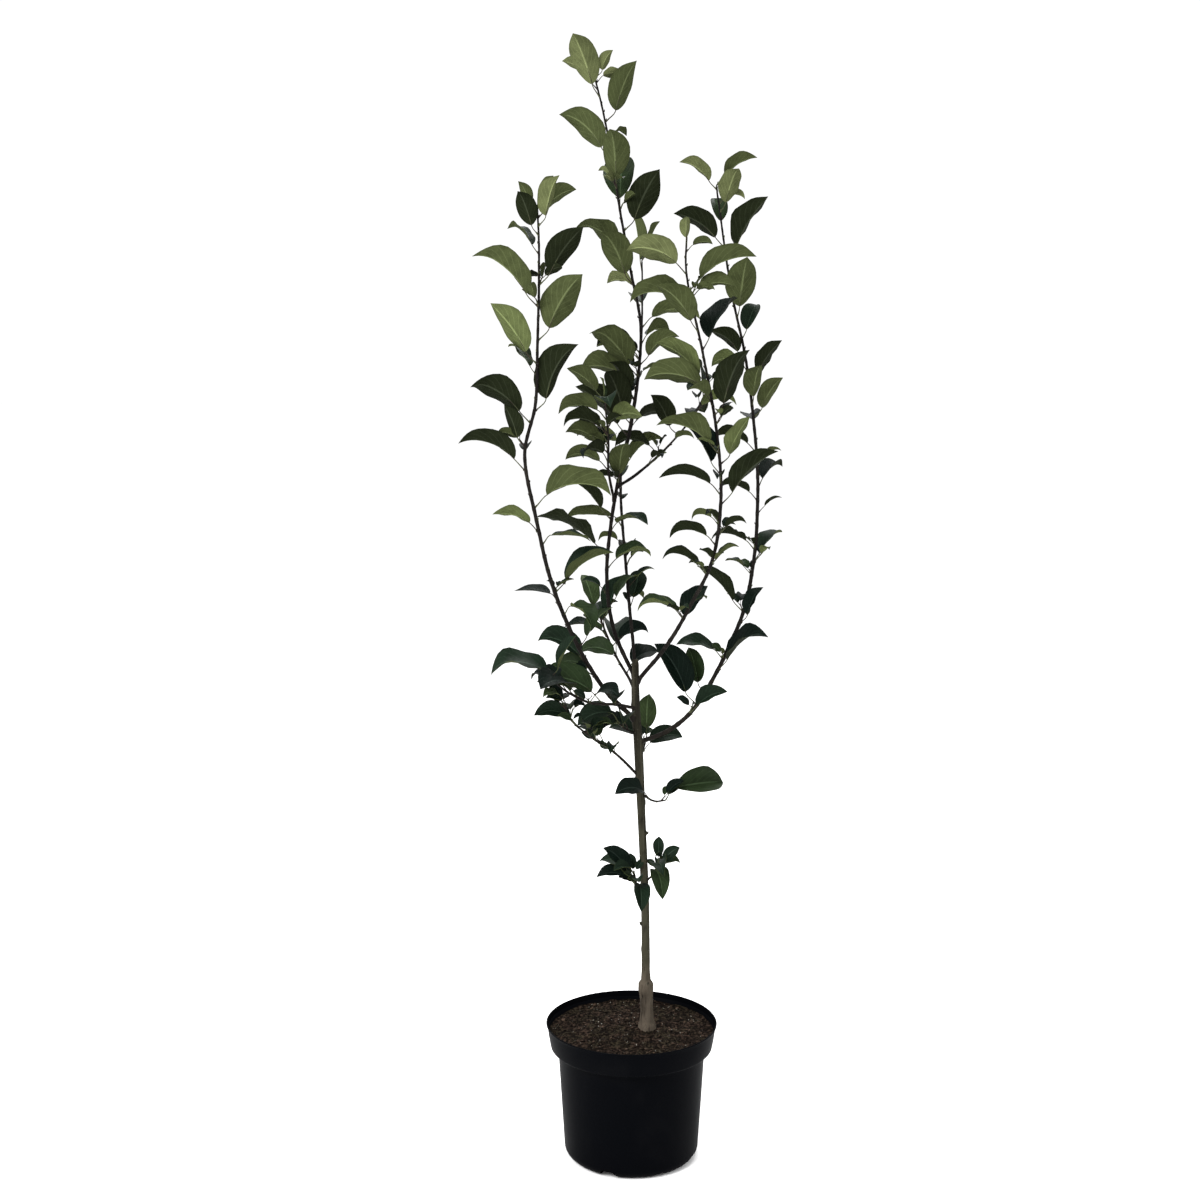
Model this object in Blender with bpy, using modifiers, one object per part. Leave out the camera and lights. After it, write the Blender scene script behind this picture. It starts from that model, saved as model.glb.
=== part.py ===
"""A young grafted apple tree, two seasons grown, standing in a round nursery pot.

Metres, +Z up. The origin is the centre of the pot's flat underside, and -Y is the front.
The pot holds a plug of soil, the trunk stands on the soil with a flat cut, and each bough
leaves the trunk or another bough at a cut 0.3 mm clear of it. A bough ends where its leaves
begin. The leafy rest of the shoot is one solid: a stem with its leaves fused on.
"""

import math
import random
from collections import namedtuple

import bmesh
import bpy
from mathutils import Matrix, Vector
from mathutils.bvhtree import BVHTree

CLEARANCE = 0.0003

POT_HEIGHT = 0.209
RIM_RADIUS = 0.130
COLLAR_DEPTH = 0.038
COLLAR_FOOT_RADIUS = 0.1235
WALL_TOP_RADIUS = 0.112
WALL_FOOT_RADIUS = 0.1025
CORNER_RADIUS = 0.016
POT_WALL = 0.002
POT_STEPS = 48
DRAIN_COUNT = 4
DRAIN_FIRST_ANGLE = math.radians(-112.0)
DRAIN_SIZE = (0.030, 0.024, 0.013)
DRAIN_START = 0.004
COLLAR_BEND = 0.0025

SOIL_TOP = 0.200
SOIL_EDGE = 0.196
SOIL_FLAT_RADIUS = 0.050

TRUNK_ROUTE = (
    (0.024, 0.000, SOIL_TOP + CLEARANCE),
    (0.022, 0.001, 0.260),
    (0.020, 0.002, 0.400),
    (0.013, 0.000, 0.556),
    (0.009, 0.000, 0.640),
    (0.005, 0.000, 0.704),
    (0.004, 0.000, 0.770),
)
# Height above the soil and radius there: flare, rootstock, graft union, young wood, fork.
TRUNK_GIRTH = (
    (0.000, 0.0130),
    (0.010, 0.0108),
    (0.026, 0.0098),
    (0.048, 0.0102),
    (0.059, 0.0113),
    (0.070, 0.0098),
    (0.088, 0.0066),
    (0.300, 0.0060),
    (0.440, 0.0068),
    (0.505, 0.0060),
    (0.562, 0.0056),
    (0.570, 0.0042),
)
YOUNG_WOOD_START = 0.090
TRUNK_STEP = 0.024
LIMB_STEP = 0.030
STEM_STEP = 0.034
STEM_LEAST_STRETCHES = 6
SQUARE_END = 0.0012
TRUNK_ROUNDING = 4
LIMB_ROUNDING = 2
STEM_ROUNDING = 1

FIRST_LEAF = 0.010
FIRST_SPUR_LEAF = 0.016
STALK_RADIUS = 0.0008
STALK_RISE = math.radians(48.0)
STALK_LENGTH = 0.009
STALK_SHARE = 0.15
BLADE_FULLNESS = 0.60
BLADE_THINNESS = 55.0
LEAST_THICKNESS = 0.0012
# Place along the blade and width there, as parts of its length and of its widest width.
BLADE_STATIONS = ((0.17, 0.72), (0.45, 1.0), (0.76, 0.66))
BLADE_LENGTH = {"s": 0.032, "m": 0.056, "l": 0.082, "x": 0.098}
# The key names where a leaf points, as seen from above on a number pad with the front below.
HEADING = {"6": 0, "9": 45, "8": 90, "7": 135, "4": 180, "1": 225, "2": 270, "3": 315}
# Rise of the blade where it leaves its stalk and at its tip in degrees, and how far it turns
# about its own length towards the light. A star shows its upper side to the front.
POSE = {
    "^": (76.0, 50.0, 0.8),
    "+": (66.0, 32.0, 0.8),
    "/": (58.0, 12.0, 0.8),
    "*": (62.0, 24.0, 0.0),
    "~": (46.0, -8.0, 0.8),
    "-": (36.0, -26.0, 0.8),
    "=": (8.0, -12.0, 1.2),
    "v": (2.0, -64.0, 0.8),
}
# How far a leaf strays from its code either way, in degrees and as a share of its size.
STRAY = {"heading": 10, "rise": 7, "droop": 10, "roll": 18, "sweep": 16, "size": 0.10}
FOLD = (16, 44)
# Nodes stand closer together towards a shoot's tip.
NODE_CROWDING = 1.2
# High leaves face a light behind the tree and low ones a light before it.
LIGHT_RISE = 0.8
LIGHT_TURN_HEIGHT = 0.90
LIGHT_TURN_SPAN = 0.25
MOST_ROLL = math.radians(65.0)
TURNS = (0.0, 24.0, -24.0, 48.0, -48.0, 75.0, -75.0)
SPACE_RADIUS = 0.125
TEST_MARGIN = 0.0007

# A leaf's code is its heading, its size and, unless it is arched, its pose.
# A dot is a bare node.
Shoot = namedtuple("Shoot", "name parent route girth tip bare leaves")
SHOOTS = (
    Shoot(
        "leader", "trunk",
        ((0.004, 0.0, 0.741), (-0.028, 0.0, 0.816), (-0.038, 0.004, 0.904), (-0.025, 0.0, 1.015),
         (-0.002, -0.004, 1.122), (0.011, 0.0, 1.243), (-0.004, 0.004, 1.336),
         (-0.021, 0.0, 1.429), (-0.038, -0.004, 1.530), (-0.055, -0.010, 1.602)),
        0.0032, 0.0012, 0.104,
        "9m* 4s~ . 6m 4x~ . 3m 4l/ . . 2m^ . . . 4l/ 1l^ . 1m^ 4l 4l/ 6m/ 4m . . . . . 4l^ . "
        "4l/ . . 6l^ . 8l* . 2l^ . . 4l/ . 9s . 6l^ . . 1l^ 4m/ 6s 6s^",
    ),
    Shoot(
        "left", "trunk",
        ((0.003, 0.0, 0.680), (-0.041, -0.020, 0.728), (-0.081, -0.050, 0.800),
         (-0.117, -0.080, 0.895), (-0.139, -0.100, 0.996), (-0.153, -0.108, 1.079),
         (-0.137, -0.118, 1.150), (-0.134, -0.120, 1.228), (-0.131, -0.125, 1.345),
         (-0.133, -0.130, 1.419)),
        0.0037, 0.0012, 0.062,
        ". 4m 4l~ . 9m* . . 3mv 4m= 6l/ . . . 6m= 4m . 6x . . 4l~ 8s 1m^ . 4l/ 6l^ . . 7m* "
        "4l+ . 6l^ . . 4x/ . 6l+ . . 7m* . 1m^ 2m^ 6m/ 4s^ 6s^",
    ),
    Shoot(
        "far_right", "trunk",
        ((0.010, 0.0, 0.644), (0.057, 0.020, 0.659), (0.099, 0.040, 0.694),
         (0.142, 0.060, 0.767), (0.174, 0.080, 0.844), (0.189, 0.095, 0.942),
         (0.189, 0.100, 1.057), (0.173, 0.110, 1.198), (0.149, 0.120, 1.311),
         (0.130, 0.125, 1.434), (0.126, 0.125, 1.466)),
        0.0036, 0.0012, 0.080,
        "6m/ 4l^ 7m^ . 6l/ 4m . . 6m^ 4l* . . 4s~ 9m/ 4m . . 6s/ 4m 9m~ . 6s/ 4m . 8m 6m^ "
        "2m^ . 6m+ 7m 4m/ . 9m* . 2l^ . . . . . 6l^ 4l/ . 8m* . 3m^ 6s . 4m/ 6m/",
    ),
    Shoot(
        "inner_right", "trunk",
        ((0.006, 0.0, 0.735), (0.050, -0.020, 0.794), (0.083, -0.040, 0.856),
         (0.113, -0.060, 0.925), (0.123, -0.070, 1.000), (0.119, -0.080, 1.088),
         (0.098, -0.090, 1.207), (0.072, -0.100, 1.323), (0.071, -0.100, 1.380)),
        0.0032, 0.0012, 0.100,
        "9m* 4m 6s . . . 4m~ 6s/ . 4m 6s~ 4s . 6l+ 4l 2s 7l* 6m^ 4l~ . . 9s* 3l^ 1m 4l 4l/ . "
        ". . 9l* . 1l/ . 4l . 6m 6l~ . 4l~ . . 6s 2s^ . .",
    ),
    Shoot(
        "back", "trunk",
        ((0.004, 0.0, 0.756), (-0.003, 0.018, 0.836), (-0.012, 0.050, 0.934),
         (-0.017, 0.070, 1.037), (-0.002, 0.085, 1.118), (0.012, 0.095, 1.207),
         (0.015, 0.100, 1.296), (0.014, 0.100, 1.354)),
        0.0026, 0.0012, 0.080,
        "7m* 6s/ 8m 4s 4l= 8s 8m 6m/ 4m 9m 7m 8m 9s 4m 9m 6l 8m 7m . 8l^ 9m^",
    ),
    Shoot(
        "central_left", "leader",
        ((-0.027, 0.0, 1.004), (-0.036, -0.028, 1.052), (-0.036, -0.050, 1.099),
         (-0.042, -0.062, 1.154)),
        0.0020, 0.0011, 0.045,
        "4m 1m 4m~ 7m 4m 3m 4m 2m 8s^ 4m/",
    ),
    Shoot(
        "central_right", "leader",
        ((-0.022, 0.0, 1.026), (0.008, 0.020, 1.044), (0.051, 0.045, 1.080),
         (0.088, 0.060, 1.122), (0.106, 0.066, 1.154)),
        0.0022, 0.0011, 0.050,
        "3s 8m 6s 4m^ 9m 6m 3s 8m^",
    ),
    Shoot(
        "front_left", "trunk",
        ((0.006, 0.0, 0.696), (-0.026, -0.040, 0.710), (-0.062, -0.075, 0.720),
         (-0.095, -0.104, 0.742), (-0.118, -0.122, 0.766)),
        0.0025, 0.0012, 0.042,
        "2m 4l 6m 1l 7m 4l 2m^",
    ),
    Shoot(
        "rear", "trunk",
        ((0.006, 0.0, 0.716), (-0.004, 0.045, 0.732), (-0.028, 0.085, 0.768),
         (-0.050, 0.115, 0.819)),
        0.0025, 0.0012, 0.050,
        "9m 7m 8l 6m 4m 8m 9m^ 7m^",
    ),
    Shoot(
        "low_left", "trunk",
        ((0.012, 0.0, 0.590), (-0.028, -0.020, 0.634), (-0.063, -0.045, 0.664),
         (-0.092, -0.060, 0.694), (-0.099, -0.064, 0.720)),
        0.0022, 0.0011, 0.050,
        "2s 7m 1s 6s 4m 8s 4s^ 1s",
    ),
)
# A spur is a short leafy twig straight on the trunk.
SPURS = (
    Shoot(
        "mid_left", "trunk",
        ((0.007, 0.0, 0.656), (-0.012, -0.010, 0.668), (-0.020, -0.013, 0.676)),
        0.0018, 0.0011, 0.0,
        "4mv 1m 7mv",
    ),
    Shoot(
        "low_right", "trunk",
        ((0.014, 0.0, 0.566), (0.032, -0.014, 0.558), (0.050, -0.018, 0.560)),
        0.0018, 0.0011, 0.0,
        "1m . 6s/ 6x=",
    ),
    Shoot(
        "low_back", "trunk",
        ((0.011, 0.0, 0.616), (0.018, 0.018, 0.632), (0.022, 0.026, 0.644)),
        0.0018, 0.0011, 0.0,
        "9m 7m 8m^",
    ),
    Shoot(
        "foot_left", "trunk",
        ((0.020, 0.002, 0.406), (0.008, -0.010, 0.424), (0.004, -0.014, 0.446)),
        0.0018, 0.0011, 0.0,
        "1mv 4m 2s 4m+ 4m 1s",
    ),
    Shoot(
        "foot_right", "trunk",
        ((0.019, 0.002, 0.428), (0.034, -0.006, 0.444), (0.040, -0.008, 0.458)),
        0.0018, 0.0011, 0.0,
        "3mv 6s 2m 6s/ 8s^",
    ),
)

BLACK_PLASTIC = ("black_plastic", (0.012, 0.013, 0.014), 0.45)
POTTING_SOIL = ("potting_soil", (0.055, 0.036, 0.026), 0.95)
TRUNK_BARK = ("trunk_bark", (0.115, 0.092, 0.075), 0.80)
SHOOT_BARK = ("shoot_bark", (0.045, 0.030, 0.028), 0.55)
LEAF_GREEN = ("leaf_green", (0.055, 0.085, 0.035), 0.50)


class Path:
    """A smooth curve through a route's points, read by the distance along it."""

    FINE = 12

    def __init__(self, route):
        ends = [Vector(point) for point in route]
        ends = [ends[0] * 2 - ends[1], *ends, ends[-1] * 2 - ends[-2]]
        self.points = [ends[1]]
        for a, b, c, d in zip(ends, ends[1:], ends[2:], ends[3:]):
            for step in range(1, self.FINE + 1):
                t = step / self.FINE
                self.points.append(
                    0.5 * (2 * b + (c - a) * t + (2 * a - 5 * b + 4 * c - d) * t**2
                           + (3 * b - 3 * c + d - a) * t**3)
                )
        self.distances = [0.0]
        for before, after in zip(self.points, self.points[1:]):
            self.distances.append(self.distances[-1] + (after - before).length)
        self.length = self.distances[-1]

    def at(self, distance):
        for i, reached in enumerate(self.distances[1:]):
            if reached >= distance or i == len(self.points) - 2:
                share = (distance - self.distances[i]) / (reached - self.distances[i])
                return self.points[i].lerp(self.points[i + 1], share)

    def between(self, start, end, step):
        """Distances from start to end, about a step apart."""
        count = max(2, round((end - start) / step))
        return [start + (end - start) * i / count for i in range(count + 1)]


def material(finish):
    name, colour, roughness = finish
    if name in bpy.data.materials:
        return bpy.data.materials[name]
    made = bpy.data.materials.new(name)
    made.use_nodes = True
    shader = made.node_tree.nodes["Principled BSDF"]
    shader.inputs["Base Color"].default_value = (*colour, 1.0)
    shader.inputs["Roughness"].default_value = roughness
    shader.inputs["Metallic"].default_value = 0.0
    return made


def add_object(name, data, collection, finish=None):
    made = bpy.data.objects.new(name, data)
    collection.objects.link(made)
    if finish:
        data.materials.append(material(finish))
    return made


def mesh_of(source):
    """A closed mesh of an object as it is evaluated, with a curve's loose caps welded."""
    bpy.context.view_layer.update()
    graph = bpy.context.evaluated_depsgraph_get()
    made = bpy.data.meshes.new_from_object(source.evaluated_get(graph))
    shape = bmesh.new()
    shape.from_mesh(made)
    bmesh.ops.remove_doubles(shape, verts=shape.verts, dist=1e-6)
    bmesh.ops.recalc_face_normals(shape, faces=shape.faces)
    bmesh.ops.triangulate(shape, faces=shape.faces)
    shape.to_mesh(made)
    shape.free()
    return made


def is_closed(data):
    shape = bmesh.new()
    shape.from_mesh(data)
    whole = all(edge.is_manifold for edge in shape.edges)
    shape.free()
    return whole


def tube(name, points, radii, rounding, collection, finish=None):
    """A closed tube through the points, made from a bevelled curve."""
    depth = 0.001
    curve = bpy.data.curves.new(name, "CURVE")
    curve.dimensions = "3D"
    curve.bevel_depth = depth
    curve.bevel_resolution = rounding
    curve.use_fill_caps = True
    spline = curve.splines.new("POLY")
    spline.points.add(len(points) - 1)
    for control, point, radius in zip(spline.points, points, radii):
        control.co = (*point, 1.0)
        control.radius = radius / depth
    guide = bpy.data.objects.new(name + "_guide", curve)
    collection.objects.link(guide)
    made = add_object(name, mesh_of(guide), collection, finish)
    bpy.data.objects.remove(guide)
    return made


def as_cutter(piece):
    piece.hide_render = True
    piece.display_type = "WIRE"


def add_boolean(piece, operation, cutter=None, group=None):
    modifier = piece.modifiers.new(operation.lower(), "BOOLEAN")
    modifier.operation = operation
    modifier.solver = "EXACT"
    if group:
        modifier.operand_type = "COLLECTION"
        modifier.collection = group
    else:
        modifier.object = cutter
    return modifier


def arc(centre_x, centre_z, radius, start, end, steps):
    """Points of an arc in the XZ plane, its angles in degrees from +X towards +Z."""
    angles = [math.radians(start + (end - start) * i / steps) for i in range(steps + 1)]
    return [(centre_x + radius * math.cos(a), centre_z + radius * math.sin(a)) for a in angles]


def turned(name, outline, collection, finish):
    """A solid turned about +Z from an outline that starts and ends on the axis."""
    profile = bpy.data.meshes.new(name)
    profile.from_pydata(
        [(x, 0.0, z) for x, z in outline], [(i, i + 1) for i in range(len(outline) - 1)], []
    )
    made = add_object(name, profile, collection, finish)
    screw = made.modifiers.new("turn", "SCREW")
    screw.axis = "Z"
    screw.steps = screw.render_steps = POT_STEPS
    screw.use_merge_vertices = True
    screw.merge_threshold = 0.00001
    screw.use_smooth_shade = True
    return made


def pot_side(inset):
    """The pot's outer side from rim to foot, or a face inset from it."""
    ledge = POT_HEIGHT - COLLAR_DEPTH
    bend = COLLAR_BEND
    side = [(RIM_RADIUS - inset, POT_HEIGHT)]
    side.append((COLLAR_FOOT_RADIUS + bend * 0.2 - inset, ledge + bend + inset))
    side.append((COLLAR_FOOT_RADIUS - bend - inset, ledge + inset))
    side.append((WALL_TOP_RADIUS + bend - inset, ledge - bend + inset))
    side.append((WALL_TOP_RADIUS - inset, ledge - 3 * bend))
    corner = CORNER_RADIUS - inset
    side += arc(WALL_FOOT_RADIUS - CORNER_RADIUS, CORNER_RADIUS, corner, 0, -90, 4)
    return side


def build_pot(collection, cutters):
    outer = pot_side(0.0)
    inner = pot_side(POT_WALL)
    outline = [(0.0, POT_WALL), *reversed(inner), *outer, (0.0, 0.0)]
    pot = turned("pot", outline, collection, BLACK_PLASTIC)
    reach = WALL_FOOT_RADIUS - CORNER_RADIUS + DRAIN_START + DRAIN_SIZE[0] * 0.5
    for i in range(DRAIN_COUNT):
        angle = DRAIN_FIRST_ANGLE + 2 * math.pi * i / DRAIN_COUNT
        slot = bmesh.new()
        bmesh.ops.create_cube(slot, size=1.0)
        bmesh.ops.scale(slot, vec=DRAIN_SIZE, verts=slot.verts)
        place = Matrix.Rotation(angle, 4, "Z") @ Matrix.Translation((reach, 0.0, 0.0))
        bmesh.ops.transform(slot, matrix=place, verts=slot.verts)
        data = bpy.data.meshes.new(f"drain_{i + 1}")
        slot.to_mesh(data)
        slot.free()
        cutter = add_object(f"drain_cutter_{i + 1}", data, cutters)
        as_cutter(cutter)
        add_boolean(pot, "DIFFERENCE", cutter)
    return pot


def build_soil(collection):
    """The soil fills the pot to a low mound, clear of its wall all round."""
    inset = POT_WALL + CLEARANCE
    side = pot_side(inset)
    # The rim's face is cut down to the soil's edge along its own slope.
    top, foot = side[0], side[1]
    share = (top[1] - SOIL_EDGE) / (top[1] - foot[1])
    side[0] = (top[0] + (foot[0] - top[0]) * share, SOIL_EDGE)
    mound = [(0.0, SOIL_TOP), (SOIL_FLAT_RADIUS, SOIL_TOP)]
    rise = SOIL_TOP - SOIL_EDGE
    mound.append(((SOIL_FLAT_RADIUS + side[0][0]) * 0.5, SOIL_EDGE + rise * 0.7))
    return turned("soil", [*mound, *side, (0.0, inset)], collection, POTTING_SOIL)


def trunk_radius(height):
    for (low, low_radius), (high, high_radius) in zip(TRUNK_GIRTH, TRUNK_GIRTH[1:]):
        if height <= high:
            share = (height - low) / (high - low)
            return low_radius + (high_radius - low_radius) * share
    return TRUNK_GIRTH[-1][1]


def trunk_sections(path, extra):
    """Points and radii of the trunk, with a point at every change in its girth."""
    marks = {min(height, path.length) for height, _ in TRUNK_GIRTH} | {path.length}
    spread = path.between(YOUNG_WOOD_START, path.length, TRUNK_STEP)
    marks |= {d for d in spread if min(abs(d - mark) for mark in marks) > 0.4 * TRUNK_STEP}
    marks = sorted(marks)
    points = [path.at(d) for d in marks]
    radii = [trunk_radius(d) + extra for d in marks]
    # A first stretch that stands upright makes the cut at the soil level.
    upright = points[0] + Vector((0.0, 0.0, SQUARE_END))
    return [points[0], upright, *points[1:]], [radii[0], radii[0], *radii[1:]]


def shoot_radius(shoot, path, distance):
    share = min(1.0, distance / path.length)
    return shoot.tip + (shoot.girth - shoot.tip) * (1.0 - share) ** 0.8


def limb_sections(shoot, path, start, end, step, extra=0.0):
    """Points and radii from start to end. A short first and last stretch square up the ends."""
    marks = path.between(start, end, step)
    marks = [start, start + SQUARE_END, *marks[1:-1], end - SQUARE_END, end]
    return [path.at(d) for d in marks], [shoot_radius(shoot, path, d) + extra for d in marks]


def stem_sections(shoot, path, start, extra=0.0):
    step = min(STEM_STEP, (path.length - start) / STEM_LEAST_STRETCHES)
    return limb_sections(shoot, path, start, path.length, step, extra)


def clear_sections(shoot, path):
    """Points and radii a clearance outside the whole shoot, from its root to its tip."""
    bough = limb_sections(shoot, path, 0.0, shoot.bare, LIMB_STEP, CLEARANCE)
    stem = stem_sections(shoot, path, shoot.bare + CLEARANCE, CLEARANCE)
    return bough[0] + stem[0], bough[1] + stem[1]


def roll_to_light(along, heading, height, share):
    """The angle that a blade turns about its own length to meet its share of the light."""
    back = max(-1.0, min(1.0, (height - LIGHT_TURN_HEIGHT) / LIGHT_TURN_SPAN))
    light = Vector((0.0, back, LIGHT_RISE))
    side = Vector((-math.sin(heading), math.cos(heading), 0.0))
    normal = along.cross(side)
    turn = math.atan2(-light.dot(side), light.dot(normal)) * share
    return max(-MOST_ROLL, min(MOST_ROLL, turn))


def leaf_corners(shoot, path, number, code, turn, margin=0.0):
    """The four-cornered sections of a leaf and its stalk, from the stem's axis to the tip."""
    draw = random.Random(f"{shoot.name} leaf {number}")
    count = len(shoot.leaves.split())
    stray = {key: most * draw.uniform(-1, 1) for key, most in STRAY.items()}
    fold = math.radians(draw.uniform(*FOLD))
    first = shoot.bare + (FIRST_LEAF if shoot.bare else FIRST_SPUR_LEAF)
    onward = 1.0 - (1.0 - number / (count - 1)) ** NODE_CROWDING
    start = first + (path.length - STALK_RADIUS - first) * onward
    length = BLADE_LENGTH[code[1]] * (1 + stray["size"])
    width = length * BLADE_FULLNESS
    rise, droop, share = POSE[code[2:] or "-"]
    heading = math.radians(HEADING[code[0]] + stray["heading"] + turn)
    rise = math.radians(rise + stray["rise"])
    droop = math.radians(droop + stray["droop"])
    sweep = math.radians(stray["sweep"])
    stalk = STALK_LENGTH + STALK_SHARE * length
    thickness = max(LEAST_THICKNESS, length / BLADE_THINNESS)

    def forward(elevation, azimuth):
        level = math.cos(elevation)
        return Vector((level * math.cos(azimuth), level * math.sin(azimuth), math.sin(elevation)))

    def section(centre, elevation, azimuth, half, half_thick, bend):
        along = forward(elevation, azimuth)
        side = Vector((-math.sin(azimuth), math.cos(azimuth), 0.0))
        side = Matrix.Rotation(roll, 3, along) @ side
        normal = side.cross(along) * -1.0
        out = side * math.cos(bend) * half
        lift = normal * math.sin(bend) * half
        up = normal * half_thick
        return [centre + out + lift, centre + up, centre - out + lift, centre - up]

    root = path.at(start)
    roll = roll_to_light(forward((rise + droop) / 2, heading), heading, root.z, share)
    roll += math.radians(stray["roll"])
    thin = STALK_RADIUS + margin
    rings = [section(root, STALK_RISE, heading, thin, thin, 0.0)]
    neck = root + forward(STALK_RISE, heading) * (stalk + shoot_radius(shoot, path, start))
    rings.append(section(neck, (STALK_RISE + rise) / 2, heading, thin, thin, 0.0))
    centre, reached = neck, 0.0
    for place, part in (*BLADE_STATIONS, (1.0, 0.0)):
        middle = (reached + place) / 2
        elevation = rise + (droop - rise) * middle
        azimuth = heading + sweep * middle
        centre = centre + forward(elevation, azimuth) * (place - reached) * length
        reached = place
        if part:
            elevation = rise + (droop - rise) * place
            azimuth = heading + sweep * place
            half = width * 0.5 * part + margin
            thick = thickness * 0.5 * (0.6 + 0.4 * part) + margin
            rings.append(section(centre, elevation, azimuth, half, thick, fold))
    return rings, centre


def leaf_mesh(name, rings, tip):
    """A loft of four-cornered sections that closes in a point at the leaf's tip."""
    corners = [corner for ring in rings for corner in ring] + [tip]
    faces = [(3, 2, 1, 0)]
    for row in range(len(rings) - 1):
        for i in range(4):
            j = (i + 1) % 4
            low, high = row * 4, row * 4 + 4
            faces.append((low + i, low + j, high + j, high + i))
    last = len(rings) * 4 - 4
    faces += [(last + i, last + (i + 1) % 4, len(corners) - 1) for i in range(4)]
    shape = bmesh.new()
    points = [shape.verts.new(corner) for corner in corners]
    for face in faces:
        shape.faces.new([points[i] for i in face])
    bmesh.ops.triangulate(shape, faces=shape.faces)
    bmesh.ops.recalc_face_normals(shape, faces=shape.faces)
    made = bpy.data.meshes.new(name)
    shape.to_mesh(made)
    shape.free()
    return made


def tree_of(rings, tip):
    """A search tree of the leaf beyond the first part of its stalk."""
    start = [near.lerp(far, 0.4) for near, far in zip(rings[0], rings[1])]
    data = leaf_mesh("leaf_test", [start, *rings[1:]], tip)
    found = search_tree(data)
    bpy.data.meshes.remove(data)
    return found


def search_tree(data):
    corners = [vertex.co.copy() for vertex in data.vertices]
    return BVHTree.FromPolygons(corners, [tuple(face.vertices) for face in data.polygons])


def within_space(rings, tip, path):
    return all(
        min((corner - point).length for point in path.points) < SPACE_RADIUS
        for corner in (*rings[-1], tip)
    )


def build_mass(name, shoot, path, start, blocked, collection, cutter=None):
    """One shoot's leafy part: a tapering stem with every leaf that finds room fused on."""
    stem = tube(name, *stem_sections(shoot, path, start), STEM_ROUNDING, collection, LEAF_GREEN)
    own_tree = search_tree(stem.data)
    group = bpy.data.collections.new(name + "_leaves")
    bpy.context.scene.collection.children.link(group)
    for number, code in enumerate(shoot.leaves.split()):
        if code == ".":
            continue
        for turn in TURNS:
            rings, tip = leaf_corners(shoot, path, number, code, turn, TEST_MARGIN)
            tree = tree_of(rings, tip)
            if not within_space(rings, tip, path):
                continue
            if any(tree.overlap(other) for other in (*blocked, own_tree)):
                continue
            rings, tip = leaf_corners(shoot, path, number, code, turn)
            add_object(f"{name}_{number}", leaf_mesh(f"{name}_{number}", rings, tip), group)
            blocked.append(tree)
            break
        else:
            print("no room for leaf", number, code, "of", name)
    if cutter:
        add_boolean(stem, "DIFFERENCE", cutter)
    union = add_boolean(stem, "UNION", group=group)
    joined = mesh_of(stem)
    if not is_closed(joined):
        union.solver = "MANIFOLD"
        joined = mesh_of(stem)
    stem.data = joined
    stem.modifiers.clear()
    for leaf in list(group.objects):
        bpy.data.objects.remove(leaf)
    bpy.data.collections.remove(group)
    blocked.append(search_tree(stem.data))
    return stem


def build_tree(collection, cutters):
    paths = {"trunk": Path(TRUNK_ROUTE)}
    points, radii = trunk_sections(paths["trunk"], 0.0)
    trunk = tube("trunk", points, radii, TRUNK_ROUNDING, collection, TRUNK_BARK)
    points, radii = trunk_sections(paths["trunk"], CLEARANCE)
    clear = {"trunk": tube("trunk_cutter", points, radii, TRUNK_ROUNDING, cutters)}
    as_cutter(clear["trunk"])
    blocked = [search_tree(trunk.data)]
    for shoot in SHOOTS:
        path = paths[shoot.name] = Path(shoot.route)
        points, radii = limb_sections(shoot, path, 0.0, shoot.bare, LIMB_STEP)
        bough = tube(shoot.name + "_bough", points, radii, LIMB_ROUNDING, collection, SHOOT_BARK)
        add_boolean(bough, "DIFFERENCE", clear[shoot.parent])
        blocked.append(search_tree(bough.data))
        if any(other.parent == shoot.name for other in SHOOTS):
            around = clear_sections(shoot, path)
            clear[shoot.name] = tube(shoot.name + "_cutter", *around, LIMB_ROUNDING, cutters)
            as_cutter(clear[shoot.name])
    stems = [search_tree_of_stem(shoot, paths[shoot.name]) for shoot in SHOOTS]
    for i, shoot in enumerate(SHOOTS):
        others = [tree for j, tree in enumerate(stems) if j != i]
        here = [*blocked, *others]
        known = len(here)
        build_mass(shoot.name + "_foliage", shoot, paths[shoot.name],
                   shoot.bare + CLEARANCE, here, collection)
        blocked += here[known:]
    for shoot in SPURS:
        here = [*blocked, *stems]
        known = len(here)
        build_mass(shoot.name + "_foliage", shoot, Path(shoot.route), 0.0, here,
                   collection, clear["trunk"])
        blocked += here[known:]


def search_tree_of_stem(shoot, path):
    holder = bpy.context.scene.collection
    sections = stem_sections(shoot, path, shoot.bare)
    stem = tube(shoot.name + "_stem_test", *sections, STEM_ROUNDING, holder)
    found = search_tree(stem.data)
    bpy.data.objects.remove(stem)
    return found


def main():
    for old in list(bpy.data.objects):
        bpy.data.objects.remove(old)
    scene = bpy.context.scene
    parts = bpy.data.collections.new("potted_apple_tree")
    cutters = bpy.data.collections.new("cutters")
    scene.collection.children.link(parts)
    scene.collection.children.link(cutters)
    build_pot(parts, cutters)
    build_soil(parts)
    build_tree(parts, cutters)
    for piece in parts.objects:
        if piece.type == "MESH" and len(piece.data.polygons):
            piece.data.shade_smooth()
            piece.data.set_sharp_from_angle(angle=math.radians(40.0))


main()
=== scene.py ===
"""Looks of a young apple tree in a nursery pot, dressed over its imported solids.

Metres, +Z up. The origin lies under the middle of the pot and the camera looks along +Y.
The shoots grow again from the same routes and leaf codes as the solids, with fine stems,
buds and shaped leaves, and each leaf takes the turn that its solid took. The trunk and boughs
get bark with relief, the pot is turned with its lip, collar and drains, and the soil is strewn
with bark chips, crumbs and pale fibres.
"""

from __future__ import annotations

import logging
import math
import random
from dataclasses import dataclass, field
from enum import Enum
from typing import Sequence, Union

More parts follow.
